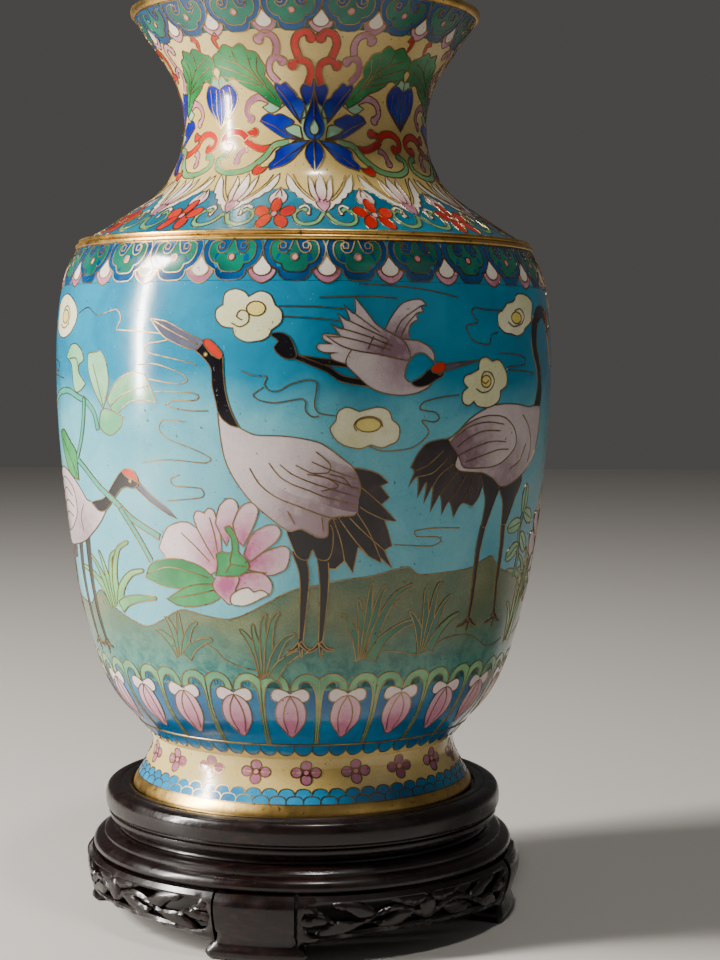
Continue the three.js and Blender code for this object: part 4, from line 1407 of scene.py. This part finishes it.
for i in range(LAPPETS):
    shift = -5.8 + panel * i
    ground = [(shift - panel / 2 + panel * k / 6, 26) for k in range(7)] + [(shift + panel / 2, 36)]
    arches = [(13, 50), (9.6, 54.4), (5, 53.4), (1.4, 49.8), (-1.4, 49.8), (-5, 53.4), (-9.6, 54.4),
        (-13, 50)]
    ground += [(shift + u * panel / 26, v) for u, v in arches] + [(shift - panel / 2, 36)]
    lappets.cell(curve([(*p, 1) for p in ground], True), "ground")
    lappet(Stencil(lappets, shift))
SCALLOPS = 62
for i in range(SCALLOPS):
    shift = BELLY_TURN * i / SCALLOPS
    draw = Stencil(lappets, shift)
    draw.cell([(-4.86, 25.2, 1), (-4.7, 23), (-3, 21.3), (0, 20.6), (3, 21.3), (4.7, 23), (4.86, 25.2, 1)],
        "hem", None, 1)
lappets.make()

# The border wire is a stouter round wire run right round under the panels.
low, high = node_span("belly_border_wire")
level = (low + high) / 2
radius = belly_wall.place(level)[0]
border = turned("belly_border_wire_gilt", arc((radius, level), 0.42, 0, 330, 9), 256)
# Its dark brown colour is painted shade, like that of the other wires.
finished(border, wire_gilt_painted_dark, "vase", "gilt", "belly_border_wire")

# ---------------------------------------------------------------- ruyi borders
# Rows of cloud-shaped ruyi heads under the lip and under the shoulder ring, green in
# blue frames, with a pink bead in each and white and mauve drops between.
SHOULDER_HEADS = 26
RIM_HEADS = 18
ruyi_blue = glass("ruyi_blue_glass", tint(0, 62, 112), tint(6, 80, 130), tint(0, 50, 96), 40)
ruyi_green = glass("ruyi_green_glass", tint(0, 98, 78), tint(12, 116, 90), tint(0, 80, 68), 40)
mauve_glass = glass("mauve_glass", tint(182, 120, 140), tint(196, 146, 160), tint(164, 100, 124), 60)
rose_glass = glass("rose_glass", tint(206, 120, 132), tint(214, 140, 148))
drop_glass = glass("drop_white_glass", tint(218, 206, 190), tint(226, 216, 202))
ruyi_glasses = {"blue": ruyi_blue, "green": ruyi_green, "mauve": mauve_glass, "rose": rose_glass,
    "white": drop_glass}


def ruyi_row(band, count, first, bead_z, wide, high, top):
    """A row of heads hanging from a level; wide and high scale the drawing."""
    turn = math.tau * band.wall.reference
    pitch = turn / count

    def sized(points, shift):
        return [(shift + u * wide, min(bead_z + v * high, top), *rest) for u, v, *rest in points]

    def both(points):
        return points + [(-u, v, *rest) for u, v, *rest in reversed(points)]

    for i in range(count):
        shift = first + pitch * i
        draw = Stencil(band)
        gap = pitch / 2 / wide
        draw.cell(sized([(gap - 5, -4.6), (gap - 3.6, -7.6), (gap, -9.4), (gap + 3.6, -7.6),
            (gap + 5, -4.6), (gap, -4)], shift), "mauve")
        draw.cell(sized([(gap, 0.6, 1), (gap - 1.4, -1.4), (gap - 3.4, -4), (gap - 2.4, -6), (gap, -6.8),
            (gap + 2.4, -6), (gap + 3.4, -4), (gap + 1.4, -1.4)], shift), "white", None, 1)
        draw.cell(sized(both([(10.4, 9, 1), (11.5, 4), (11, 0.6), (9.4, -2.4), (7, -4), (5.8, -4.7, 1),
            (5.3, -6.6), (3, -8.2)]), shift), "blue", None, 2)
        draw.cell(sized(both([
            (0.5, 9, 1), (1.2, 4.4), (2.4, 2), (4.4, 1.5), (5.9, 2.8), (5.8, 4.8), (4.4, 5.6, 1),
            (6.2, 6.2), (8.4, 5.2), (9, 2.6), (8.5, 0.2),
            (6.9, -1.8), (4.9, -2.4, 1), (4, -4.4), (2.2, -5.3),
        ]), shift), "green", None, 3)
        draw.cell(sized(oval(0, 0, 1.3, 1.3, 10), shift), "rose", None, 4)
        for side in (-1, 1):
            draw.cell(sized([(side * u, v) for u, v in [(3.4, 3.2), (4.9, 3.2), (5.4, 4.6), (4.4, 5.5),
                (3.2, 5)]], shift), "blue", None, 4)


shoulder_row = Band(belly_wall, 2.6)
shoulder_row.begin("ruyi_border", ruyi_glasses, "turquoise_enamel")
ruyi_row(shoulder_row, SHOULDER_HEADS, -3.8, 204.2, 1.0, 0.98, SHOULDER_Z - 2)
shoulder_row.make()
rim_row = Band(neck_wall, 2.0)
rim_row.begin("rim_border", ruyi_glasses, "turquoise_enamel")
ruyi_row(rim_row, RIM_HEADS, -4.2, 295, 0.752, 0.79, 301)
rim_row.make()

# ---------------------------------------------------------------- neck
# Four cobalt lotus flowers on buff with four cobalt buds between them, joined by red,
# mauve and green scrolls and by big curled acanthus leaves.
NECK_FLOWERS = 4
NECK_AXIS = 3.3
cobalt_glass = blushed("cobalt_glass", tint(8, 20, 138), tint(16, 34, 158), tint(40, 70, 168),
    tint(6, 12, 112), 40)
scarlet_glass = glass("scarlet_glass", tint(188, 30, 22), tint(204, 50, 36), tint(168, 22, 18), 50)
scroll_green = glass("scroll_green_glass", tint(106, 160, 104), tint(128, 176, 120), tint(88, 146, 96), 60)
acanthus_green = glass("acanthus_glass", tint(32, 128, 66), tint(54, 146, 82), tint(20, 106, 54), 50)
soft_green = glass("soft_green_glass", tint(138, 184, 148), tint(158, 196, 164), tint(116, 168, 134), 60)
neck = Band(neck_wall, 2.2, 0.9)


def neck_half(draw):
    """Half of one repeat: right of the axis 0 lies the other half, mirrored."""
    draw.cell([(0, 269.6, 1), (-1.6, 266), (-3.4, 262), (-5, 257), (-4.2, 252), (-3, 249.6, 1),
        (0, 249.6, 1)], "soft", None, 0, False)
    draw.cell([(-5, 252.6), (-4.4, 249.8, 1), (-9, 250), (-11.4, 252.4), (-11, 254.6), (-8, 255.4),
        (-5.6, 254.8)], "soft", None, 1)
    draw.cell([(-3.6, 262.4), (-3.2, 258.6), (-5, 257.8), (-8, 260.6), (-7.4, 262.8), (-5.6, 264)], "soft",
        None, 1)
    draw.cell([(-5, 249.4), (-5.6, 246.6), (-8.6, 245), (-10.6, 246), (-9, 248.2), (-7, 249.4)], "soft",
        None, 1)
    draw.cell([
        (-15.6, 238.2, 1), (-16.4, 240), (-14.4, 242.6), (-14.2, 245.4, 1), (-11.3, 247.4), (-7.2, 248.8),
        (-1.6, 249.6, 1), (-4.6, 246.4),
        (-8, 242), (-11.3, 239.6), (-13.4, 239),
    ], "cobalt", (-4, 248, 9), 2)
    draw.wire([(-2, 249.3), (-6, 246.2), (-10, 243.4), (-14.6, 239.6)])
    draw.cell([
        (-21.4, 256.8, 1), (-20.4, 258.6, 1), (-17.9, 259.8), (-15.4, 259, 1), (-13.1, 259.5),
        (-9.6, 257.8, 1), (-8, 256.8), (-8.4, 255.4),
        (-11.4, 254), (-9, 251.8), (-4, 250, 1), (-11.3, 250.4), (-15.8, 252.9), (-18.4, 254.6),
    ], "cobalt", (-6, 251, 9), 2)
    draw.wire([(-4, 250), (-10, 251.4), (-15, 254.6), (-20.6, 257)])
    draw.cell([
        (-15.4, 268.4, 1), (-15, 270.8, 1), (-12.6, 270, 1), (-11, 271), (-9.2, 269, 1), (-7.6, 267.6),
        (-6.4, 265.4, 1), (-4.6, 264.4),
        (-3.4, 262, 1), (-4.6, 259.6), (-5.4, 256, 1), (-7.8, 258.8), (-11.3, 262.9), (-13.4, 265.6),
    ], "cobalt", (-5, 258, 8), 2)
    draw.wire([(-5.4, 256), (-8.6, 262), (-14.2, 269)])
    draw.cell([(0, 249.8, 1), (-2.2, 250.4), (-3.9, 253.4), (-3.4, 257.4), (-1.6, 262), (0, 268.4, 1)],
        "cobalt", (0, 251, 7), 3)
    draw.cell([(0, 274.6, 1), (-1.6, 272.2), (-4.4, 270.2), (-5.4, 267.8), (-3.4, 262.4, 1), (-1.6, 263.6),
        (0, 268.6, 1)], "cobalt", None, 1)
    draw.cell([(0, 237.4, 1), (-1.8, 240), (-3.4, 243.8), (-2.8, 247), (-1, 249.2), (0, 249.4, 1)],
        "cobalt", None, 3)
    draw.scroll([(-2.6, 270), (-1.4, 274), (-2.4, 277.4), (-5.6, 278.6), (-8, 277)], 2.8, "scarlet", 2.3,
        2.0, 2)
    draw.scroll([(-5.8, 279.4), (-7.1, 283.8), (-5.8, 287), (-3, 288), (-1.6, 286.2)], 2.8, "scarlet", 2.3,
        1.9, 2)
    draw.scroll([(-13.6, 270.8), (-16.6, 274.4), (-16.3, 278.2), (-13.8, 279.8), (-11.8, 278.4)], 2.5,
        "mauve", 2.1, 1.8, 1)
    draw.scroll([(-14, 280.4), (-13.2, 283.6), (-14.2, 286.6), (-17, 287.6), (-19, 285.8)], 2.5, "mauve",
        2.1, 1.8, 1)
    draw.scroll([(-17.6, 264.6), (-22, 265.8), (-26.2, 263.9), (-27.4, 260.4), (-25.4, 258)], 2.6, "mauve",
        2.1, 1.8, 2)
    draw.cell([
        (-15, 262.4, 1), (-17.4, 264.6, 1), (-17.9, 263.4, 1), (-20.4, 262, 1), (-16.4, 259.8),
        (-11.6, 262.6, 1), (-14.2, 265.8, 1),
    ], "soft", None, 1)
    draw.cell([
        (-12.5, 263.6, 1), (-15.4, 268.9), (-19, 273.5, 1), (-18.2, 276.2), (-19.7, 279.1, 1), (-21, 281.6),
        (-23.9, 282.4, 1),
        (-26, 284.8), (-29.3, 283.4, 1), (-32.4, 284.8), (-36, 282.4, 1), (-38.9, 281), (-39.2, 277.6, 1),
        (-37.4, 276), (-38.8, 272.8),
        (-35.2, 271.4, 1), (-31.8, 273.2), (-29.3, 271, 1), (-25.9, 268.9), (-21.9, 267.3), (-18, 264.2),
        (-13.6, 261.9, 1),
    ], "acanthus", None, 2)
    draw.wires(
        [(-15, 265), (-20, 270.5), (-27, 277), (-35.5, 280.5)], [(-21, 271.6), (-24, 276.6), (-24.4, 281)],
        [(-24.8, 275), (-29, 278.6), (-30, 282.6)],
        [(-20.4, 270.6), (-28, 274.4), (-37, 277.8)], [(-20, 269.6), (-28, 271.8), (-35.4, 273.6)],
        [(-18.6, 269.8), (-21.6, 275), (-21, 280)],
    )
    bud = math.tau * neck_wall.reference / NECK_FLOWERS / 2
    draw.cell([(-bud, 254.8, 1), (-bud + 3.4, 258.4), (-bud + 7.4, 263.2), (-bud + 8.2, 267.4),
        (-bud + 6, 270.8), (-bud + 3, 271.2), (-bud, 269.8, 1)], "cobalt", (-bud, 262, 7), 1)
    draw.wire([(-bud + 0.5, 255.6), (-bud + 2.6, 262), (-bud + 1.8, 269.4)])
    draw.wire([(-bud + 1.6, 257), (-bud + 5.2, 262.6), (-bud + 5, 270)])
    draw.cell([(-bud, 269.8, 1), (-bud + 3.4, 271.4), (-bud + 6, 271), (-bud + 3.4, 272.4),
        (-bud + 2.6, 274), (-bud, 273, 1)], "soft", None, 2)
    draw.scroll([(-bud + 5.8, 288), (-bud + 3.8, 286.6), (-bud + 4.6, 283.6)], 2.2, "scarlet", 1.0, 0, 1)
    draw.scroll([(-15.6, 246.8), (-19.6, 246.4), (-23.4, 247.6), (-26.8, 249.8), (-26, 252.2),
        (-23.6, 252.8)], 2.8, "scarlet", 2.3, 1.9, 1)
    draw.scroll([(-26.4, 250.6), (-29.2, 252.8), (-33.6, 253.2), (-37.2, 251), (-36.6, 248), (-34, 247.4)],
        2.8, "scarlet", 2.3, 1.9, 2)
    draw.scroll([(-9.6, 248.8), (-15, 247.6), (-18.4, 243), (-24.4, 238.4), (-31.6, 237.6), (-37, 240),
        (-37.6, 243.2), (-35.2, 244.6)], 2.5, "scroll", 2.1, 1.6, 1)
    draw.scroll([(-25.8, 246.6), (-28.4, 245.2), (-29.2, 241.8)], 2.4, "mauve", 1.7, 1.6, 1)
    draw.cell([(-16.6, 239.6), (-18, 237.2), (-20.8, 236.2), (-22, 238), (-20.4, 240.4), (-18.8, 239.2)],
        "scarlet", None, 1)


neck.begin("neck_flowers", {
    "cobalt": cobalt_glass, "scarlet": scarlet_glass, "mauve": mauve_glass, "soft": soft_green,
    "scroll": scroll_green, "acanthus": acanthus_green,
}, "buff_enamel")
neck_pitch = math.tau * neck_wall.reference / NECK_FLOWERS
for i in range(NECK_FLOWERS):
    for flip in (1, -1):
        neck_half(Stencil(neck, NECK_AXIS + neck_pitch * i, flip))
    centre = Stencil(neck, NECK_AXIS + neck_pitch * i)
    centre.cell([(0, 257.8, 1), (-1.8, 254.6), (-1.5, 252.4), (0, 251.6), (1.5, 252.4), (1.8, 254.6)],
        "soft", None, 4)
neck.make()

# ---------------------------------------------------------------- shoulder slope
# Buff shields with white tulips hang over a blue ground, edged with white lace, with
# red blossoms, pink buds and pale green scrolls between them.
TULIPS = 13
slope = Band(shoulder_wall, 2.6)
tulip_white = blushed("tulip_glass", tint(218, 204, 190), tint(226, 214, 202), tint(196, 140, 158))
lace_glass = glass("lace_glass", tint(220, 212, 188), tint(226, 220, 204))
tulip_pitch = math.tau * shoulder_wall.reference / TULIPS


def shield(draw):
    """One repeat, centred on its tulip."""
    half = tulip_pitch / 2
    lace = [
        (16.4, 236.8, 1), (16.2, 233.4), (14.8, 231.2, 1), (13.6, 229.6), (11.6, 229, 1), (10.2, 227.2),
        (8.2, 226.6, 1),
        (6.8, 224.8), (4.8, 224.4, 1), (3, 222.6), (0, 221.4, 1),
    ]
    shell = [(16.4, 236.8, 1), (13.4, 234.6), (10.6, 231.4), (7, 228), (3.6, 225.6), (0, 224.4, 1)]

    def both(points):
        return points + [(-u, *rest) for u, *rest in reversed(points[:-1])]

    draw.cell(both(lace) + [(-u, *rest) for u, *rest in shell[1:-1]] + shell[:0:-1], "lace", None, 1)
    top = [(11.4 - 2.28 * k, 232.6, 1) for k in range(11)]
    draw.cell(top + [(-u, *rest) for u, *rest in shell[2:-1]] + shell[:1:-1], "buff", None, 0, False)
    for side in (-1, 1):
        draw.wire([(side * 13.2, 236.4), (side * 11.2, 233.6), (side * 8, 230.2), (side * 4, 227)])
    draw.cell([(0, 221, 1), (2.2, 223.4), (2.8, 226.4), (0, 227.6), (-2.8, 226.4), (-2.2, 223.4)], "mauve",
        None, 3)
    for side in (-1, 1):
        draw.cell([(side * u, *rest) for u, *rest in [
            (1.4, 226.6, 1), (2.6, 230), (3.4, 233.4), (5.8, 236, 1), (5.6, 232), (4.8, 228.6), (3, 226),
            (1.6, 225.2),
        ]], "tulip", (0, 224, 8), 4)
    draw.cell([(0, 237, 1), (2, 233.6), (2.4, 229.6), (1.2, 226.4), (0, 225.6), (-1.2, 226.4),
        (-2.4, 229.6), (-2, 233.6)], "tulip", (0, 224, 8), 5)
    for side in (-1, 1):
        mirrored = Stencil(draw.band, draw.shift, side)
        mirrored.scroll([(0.6, 220.8), (3, 217.4), (7, 216.2), (10, 217.6), (10.6, 220.6), (8, 222.4),
            (5.8, 220.6)], 1.5, "scroll", 1.2, 0.9, 3)
        mirrored.scroll([(9.4, 222.6), (7.2, 223.8), (5.4, 222.6), (5.8, 220.8)], 1.2, "lace", 0.8, 0.9, 4)
    blossom = Stencil(draw.band, draw.shift + half)
    blossom.cell([(0, 231.2, 1), (-2, 229.6), (-3.8, 227.4), (-3, 225), (0, 224), (3, 225), (3.8, 227.4),
        (2, 229.6)], "tulip", (0, 224, 7), 2)
    blossom.wire([(0, 230.6), (-1.4, 227.4), (0, 224.6)])
    blossom.wire([(0, 230.6), (1.4, 227.4), (0, 224.6)])
    for k in range(5):
        angle = math.pi / 2 + math.tau * k / 5
        blossom.cell(oval(5.0 * math.cos(angle), 220.4 + 3.5 * math.sin(angle), 3.0, 2.1, 12, angle),
            "scarlet", None, 6)
    blossom.cell(oval(0, 220.4, 1.2, 1.1, 8), "rose", None, 7)


slope.begin("shoulder_shields", {
    "lace": lace_glass, "buff": buff_glass, "mauve": mauve_glass, "tulip": tulip_white,
    "scroll": scroll_green,
    "scarlet": scarlet_glass, "rose": rose_glass,
}, "buff_enamel")
for i in range(TULIPS):
    shield(Stencil(slope, 7 + tulip_pitch * i))
slope.make()

# ---------------------------------------------------------------- foot
# The flared foot: buff with a ring of mauve four-petalled flowers over two rows of
# overlapping blue scallops.
FOOT_FLOWERS = 20
FOOT_SCALLOPS = 64
hem_glass = glass("hem_blue_glass", tint(18, 122, 168), tint(34, 142, 184), tint(10, 102, 150), 40)
foot_mauve = glass("foot_mauve_glass", tint(156, 92, 116), tint(176, 116, 136), tint(138, 78, 102), 60)
foot_band = Band(foot_wall, 2.0, 0.9)
foot_band.begin("foot_flowers", {"hem": hem_glass, "mauve": foot_mauve, "rose": rose_glass}, "buff_enamel")
foot_turn = math.tau * foot_wall.reference
for row, (base, top) in enumerate(((4.6, 8.4), (3.0, 5.9))):
    for i in range(FOOT_SCALLOPS):
        shift = foot_turn * (i + 0.5 * row) / FOOT_SCALLOPS
        half = foot_turn / FOOT_SCALLOPS / 2
        high = top - base
        Stencil(foot_band, shift).cell([
            (-half, base, 1), (-half, base + high * 0.45), (-half * 0.7, base + high * 0.86), (0, top),
            (half * 0.7, base + high * 0.86),
            (half, base + high * 0.45), (half, base, 1),
        ], "hem", None, row)
for i in range(FOOT_FLOWERS):
    draw = Stencil(foot_band, 1.1 + foot_turn * i / FOOT_FLOWERS)
    for u, v in ((-3.7, 14), (3.7, 14), (0, 16.5), (0, 11.5)):
        draw.cell(oval(u, v, 2.2, 1.9, 12), "mauve", None, 1)
    draw.cell(oval(0, 14, 1.3, 1.1, 8), "rose", None, 2)
foot_band.make()

# ---------------------------------------------------------------- turned stand
# A black-brown lacquered hardwood stand: a seat board with a shallow recess for the
# foot, a hollowed waist ring, and a broad ogee moulding, each turned on a lathe.
GROUND = -FOOT_LEVEL


def lacquer():
    """Hardwood under worn dark lacquer: streaked grain, open pores, dust in scattered specks."""
    material, tree, shader = new_material("dark_lacquer")
    coordinates = tree.nodes.new("ShaderNodeTexCoord")
    along = tree.nodes.new("ShaderNodeMapping")
    along.inputs["Scale"].default_value = (40, 420, 420)
    tree.links.new(coordinates.outputs["Object"], along.inputs["Vector"])
    grain = tree.nodes.new("ShaderNodeTexNoise")
    grain.inputs["Scale"].default_value = 1.6
    grain.inputs["Detail"].default_value = 5
    tree.links.new(along.outputs["Vector"], grain.inputs["Vector"])
    streaks = ramp(tree, grain.outputs["Fac"], (0.36, tint(9, 4, 4)), (0.54, tint(20, 9, 8)),
        (0.70, tint(38, 19, 15)))
    patches = ramp(tree, noise(tree, 26, 4, 0.6), (0.4, 0.0), (0.65, 0.75))
    colour = blend(tree, patches, streaks, tint(14, 7, 6))
    dust = ramp(tree, noise(tree, 210, 6, 0.75), (0.66, 0.0), (0.78, 0.55))
    tree.links.new(blend(tree, dust, colour, tint(112, 88, 66)), shader.inputs["Base Color"])
    tree.links.new(ramp(tree, noise(tree, 70, 5, 0.6), (0.32, 0.2), (0.68, 0.42)), shader.inputs["Roughness"])
    pores = relief(tree, grain.outputs["Fac"], 0.00018, 0.5)
    tree.links.new(relief(tree, noise(tree, 120, 4), 0.0003, 0.45, pores), shader.inputs["Normal"])
    shader.inputs["Specular IOR Level"].default_value = 0.3
    shader.inputs["Coat Weight"].default_value = 0.3
    shader.inputs["Coat Roughness"].default_value = 0.14
    return material


lacquer_wood = lacquer()


def wooden(name, points, node, steps=200):
    """A turned wooden piece; points are [radius, height above the ground]."""
    section = [(r, z + GROUND) for r, z in curve(points, True, 0.8)]
    piece = turned(name, section, steps)
    finished(piece, lacquer_wood, "stand", "hardwood", node)


seat_low = node_span("seat_board")[0] - GROUND
wooden("seat_board_wood", [
    (0.01, 49.2, 1), (69.2, 49.2, 1), (69.4, 50.3), (70.2, 50.9), (72.6, 51, 1), (73.2, 50.5, 1),
    (73.8, 50.9), (76.4, 50.7),
    (78.3, 49.6), (79.2, 47.2), (79.25, 44.6), (79.0, 42.6), (78.2, 41.6, 1), (77.0, 41.2, 1), (77.0, 40.7),
    (77.9, 40.2), (78.1, 39.4),
    (77.5, seat_low + 0.1, 1), (56, seat_low, 1), (0.01, seat_low, 1),
], "seat_board")
low, high = (v - GROUND for v in node_span("waist_ring"))
wooden("waist_ring_wood", [(60, high, 1), (74.4, high, 1), (74.3, high - 0.6), (73.4, (low + high) / 2),
    (74.3, low + 0.6), (74.4, low, 1), (60, low, 1)], "waist_ring")
low, high = (v - GROUND for v in node_span("moulding_ring"))
wooden("moulding_ring_wood", [
    (56.2, high, 1), (76, high, 1), (77.4, 33.7), (79.0, 32.9), (79.8, 32.1, 1), (79.9, 31.2, 1),
    (81.2, 30.8), (83.0, 29.8), (84.0, 28.3),
    (84.0, 26.9), (83.3, 25.9), (82.2, low, 1), (56.2, low, 1),
], "moulding_ring")

# ---------------------------------------------------------------- legs and apron
# Four bracket legs pegged under the moulding, and between them bowed apron panels
# sawn through and carved into leafy scrolls.
APRON_RADIUS = 86
LEG_ANGLES = (-12, 78, 168, 258)


def carved(shape, wall, outline, holes, depth, grid, edge, sink=0.0, rounded=None):
    """Adds a bowed slab to a mesh: sawn to an outline with holes, its face rounded at the edges."""
    rims = [outline] + holes
    points, edges = [], []
    for rim in rims:
        first = len(points)
        points += [Vector(p) for p in rim]
        edges += [(first + i, first + (i + 1) % len(rim)) for i in range(len(rim))]
    border = [tuple(p) for p in points]
    xs, zs = [p[0] for p in outline], [p[1] for p in outline]
    for row in range(math.ceil(min(zs) / grid), math.floor(max(zs) / grid) + 1):
        for column in range(math.ceil(min(xs) / grid) - 1, math.floor(max(xs) / grid) + 1):
            x, z = (column + 0.5 * (row % 2)) * grid, row * grid
            if min((x - p[0]) ** 2 + (z - p[1]) ** 2 for p in border) > (0.5 * grid) ** 2:
                points.append(Vector((x, z)))
    if rounded:
        border = [p for p in border if rounded(p)]
    flat, _, triangles, *_ = delaunay_2d_cdt(points, edges, [], 1, 1e-6)
    kept = []
    for a, b, c in triangles:
        middle = (flat[a] + flat[b] + flat[c]) / 3
        if any(inside(middle, hole) for hole in holes):
            continue
        turn = (flat[b] - flat[a]).cross(flat[c] - flat[a])
        kept.append((a, b, c) if turn > 0 else (a, c, b))
    used = sorted({i for t in kept for i in t})
    front, back = {}, {}
    for i in used:
        x, z = flat[i]
        away = math.sqrt(min((x - p[0]) ** 2 + (z - p[1]) ** 2 for p in border))
        drop = sink + edge * max(0.0, 1 - away / (1.5 * edge)) ** 2
        place = wall.point(x, z, 0)[0]
        outward = Vector((place.x, place.y, 0)).normalized()
        front[i] = shape.verts.new(place - outward * drop * MM)
        back[i] = shape.verts.new(place - outward * (depth + sink) * MM)
    for a, b, c in kept:
        shape.faces.new((front[a], front[b], front[c]))
        shape.faces.new((back[c], back[b], back[a]))
    for u, v in open_edges(kept):
        shape.faces.new((front[v], front[u], back[u], back[v]))


def carving(name, shape, node):
    mesh = bpy.data.meshes.new(name)
    shape.to_mesh(mesh)
    shape.free()
    piece = placed(name, mesh)
    bpy.ops.object.select_all(action="DESELECT")
    bpy.context.view_layer.objects.active = piece
    piece.select_set(True)
    bpy.ops.object.shade_smooth_by_angle(angle=math.radians(42))
    finished(piece, lacquer_wood, "stand", "hardwood", node)


def from_ground(points):
    return [(r, z + GROUND) for r, z in points]


leg_wall = Wall(from_ground([(85.2, 25.4), (87.6, 21.5), (87, 16), (84.8, 9), (83.8, 6.4), (85.4, 3),
    (84.2, -0.1)]), APRON_RADIUS)
apron_wall = Wall(from_ground([(84.6, 25.4), (86.9, 21.5), (86.4, 16), (84.6, 10), (82.4, 4)]), APRON_RADIUS)
half_leg = [
    (14.9, 25.2, 1), (14.9, 17), (14.9, 10.4), (15.6, 7.8), (17.8, 6), (19.2, 4.4), (19.7, 2.4), (19, 0.8),
    (18, 0.05, 1), (9, 0.05, 1),
]
half_panel = [(51.4, 25.2, 1), (51.4, 14, 1), (51.4, 6.4, 1), (46, 7.2), (36, 8.6), (20, 10.1), (6, 10.6, 1)]
half_window = [(4, 22.6, 1), (26, 22.6), (42, 22.4), (47.6, 21.4), (49.6, 18), (49.4, 13.4), (47.4, 10.8),
    (42, 10.6), (34, 11.6), (20, 12.8), (4, 13.2, 1)]
vine = [(-1, 13.2), (5, 16.6), (13, 19.2), (21, 17.6), (29, 14.4), (37, 15), (44, 18.2), (50.4, 19.4)]
leaves = (
    [(0.4, 23.4), (4, 19.4), (9, 20), (14, 21.6), (18, 23.4)],
    [(6, 17.6), (8.6, 14.6), (13, 12), (20, 12, 1), (23, 14.8, 1), (17.4, 16), (13, 18.4)],
    [(21, 18), (25, 20.8), (29, 23.4), (39, 23.4), (36.4, 20.2, 1), (32, 19), (28, 16.4)],
    [(27, 15.2), (31.6, 11.4), (38, 10), (45, 9.8), (42.6, 12.8, 1), (40.6, 14), (36.4, 16)],
    [(39, 16.4), (43, 14.2), (50.2, 13.8), (50.6, 17), (46.4, 17.6, 1), (43.6, 18.6)],
    [(42, 18.6), (45, 20.8), (46, 23.2), (50, 22.6), (50.4, 20), (47, 19)],
)


def up(points):
    return [(u, v + GROUND, *rest) for u, v, *rest in points]


def mirrored(points):
    return points + [(-u, *rest) for u, *rest in reversed(points)]


for number, angle in enumerate(LEG_ANGLES, 1):
    across = math.radians(angle) * APRON_RADIUS
    shape = bmesh.new()
    outline = [(u + across, v) for u, v in curve(up(mirrored(half_leg)), True, 1.2)]
    carved(shape, leg_wall, outline, [], 12.9, 1.3, 1.1, 0, lambda p: p[1] < 10.5 + GROUND)
    carving(f"leg_{number}_wood", shape, f"leg_{number}")
    across += math.radians(45) * APRON_RADIUS
    shape = bmesh.new()
    outline = [(u + across, v) for u, v in curve(up(mirrored(half_panel)), True, 1.4)]
    window = [(u + across, v) for u, v in curve(up(mirrored(half_window)), True, 1.2)]
    carved(shape, apron_wall, outline, [window], 5.0, 1.4, 0.9, 0, lambda p: 1 < abs(p[0] - across) < 50
        and p[1] < 24 + GROUND)
    for side in (-1, 1):
        stem = [(side * u + across, v) for u, v in stroke(up(vine), 3.0, 2.2, 0, 1.2)]
        carved(shape, apron_wall, stem, [], 3.6, 1.1, 1.0, 0.5)
        for leaf in leaves:
            blade = [(side * u + across, v) for u, v in curve(up(leaf), True, 1.2)]
            carved(shape, apron_wall, blade, [], 3.4, 1.1, 1.0, 0.2)
    carved(shape, apron_wall, [(u + across, v) for u, v in curve(up(oval(0, 17.6, 4.2, 5.6)), True, 1.2)],
        [], 4.0, 1.1, 1.6, 0.1)
    carving(f"apron_panel_{number}_wood", shape, f"apron_panel_{number}")

# The pegs that pin the legs to the moulding keep their turned shape.
for number in range(1, 5):
    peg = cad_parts[f"leg_peg_{number}"]
    peg.data.materials.clear()
    peg.data.materials.append(lacquer_wood)
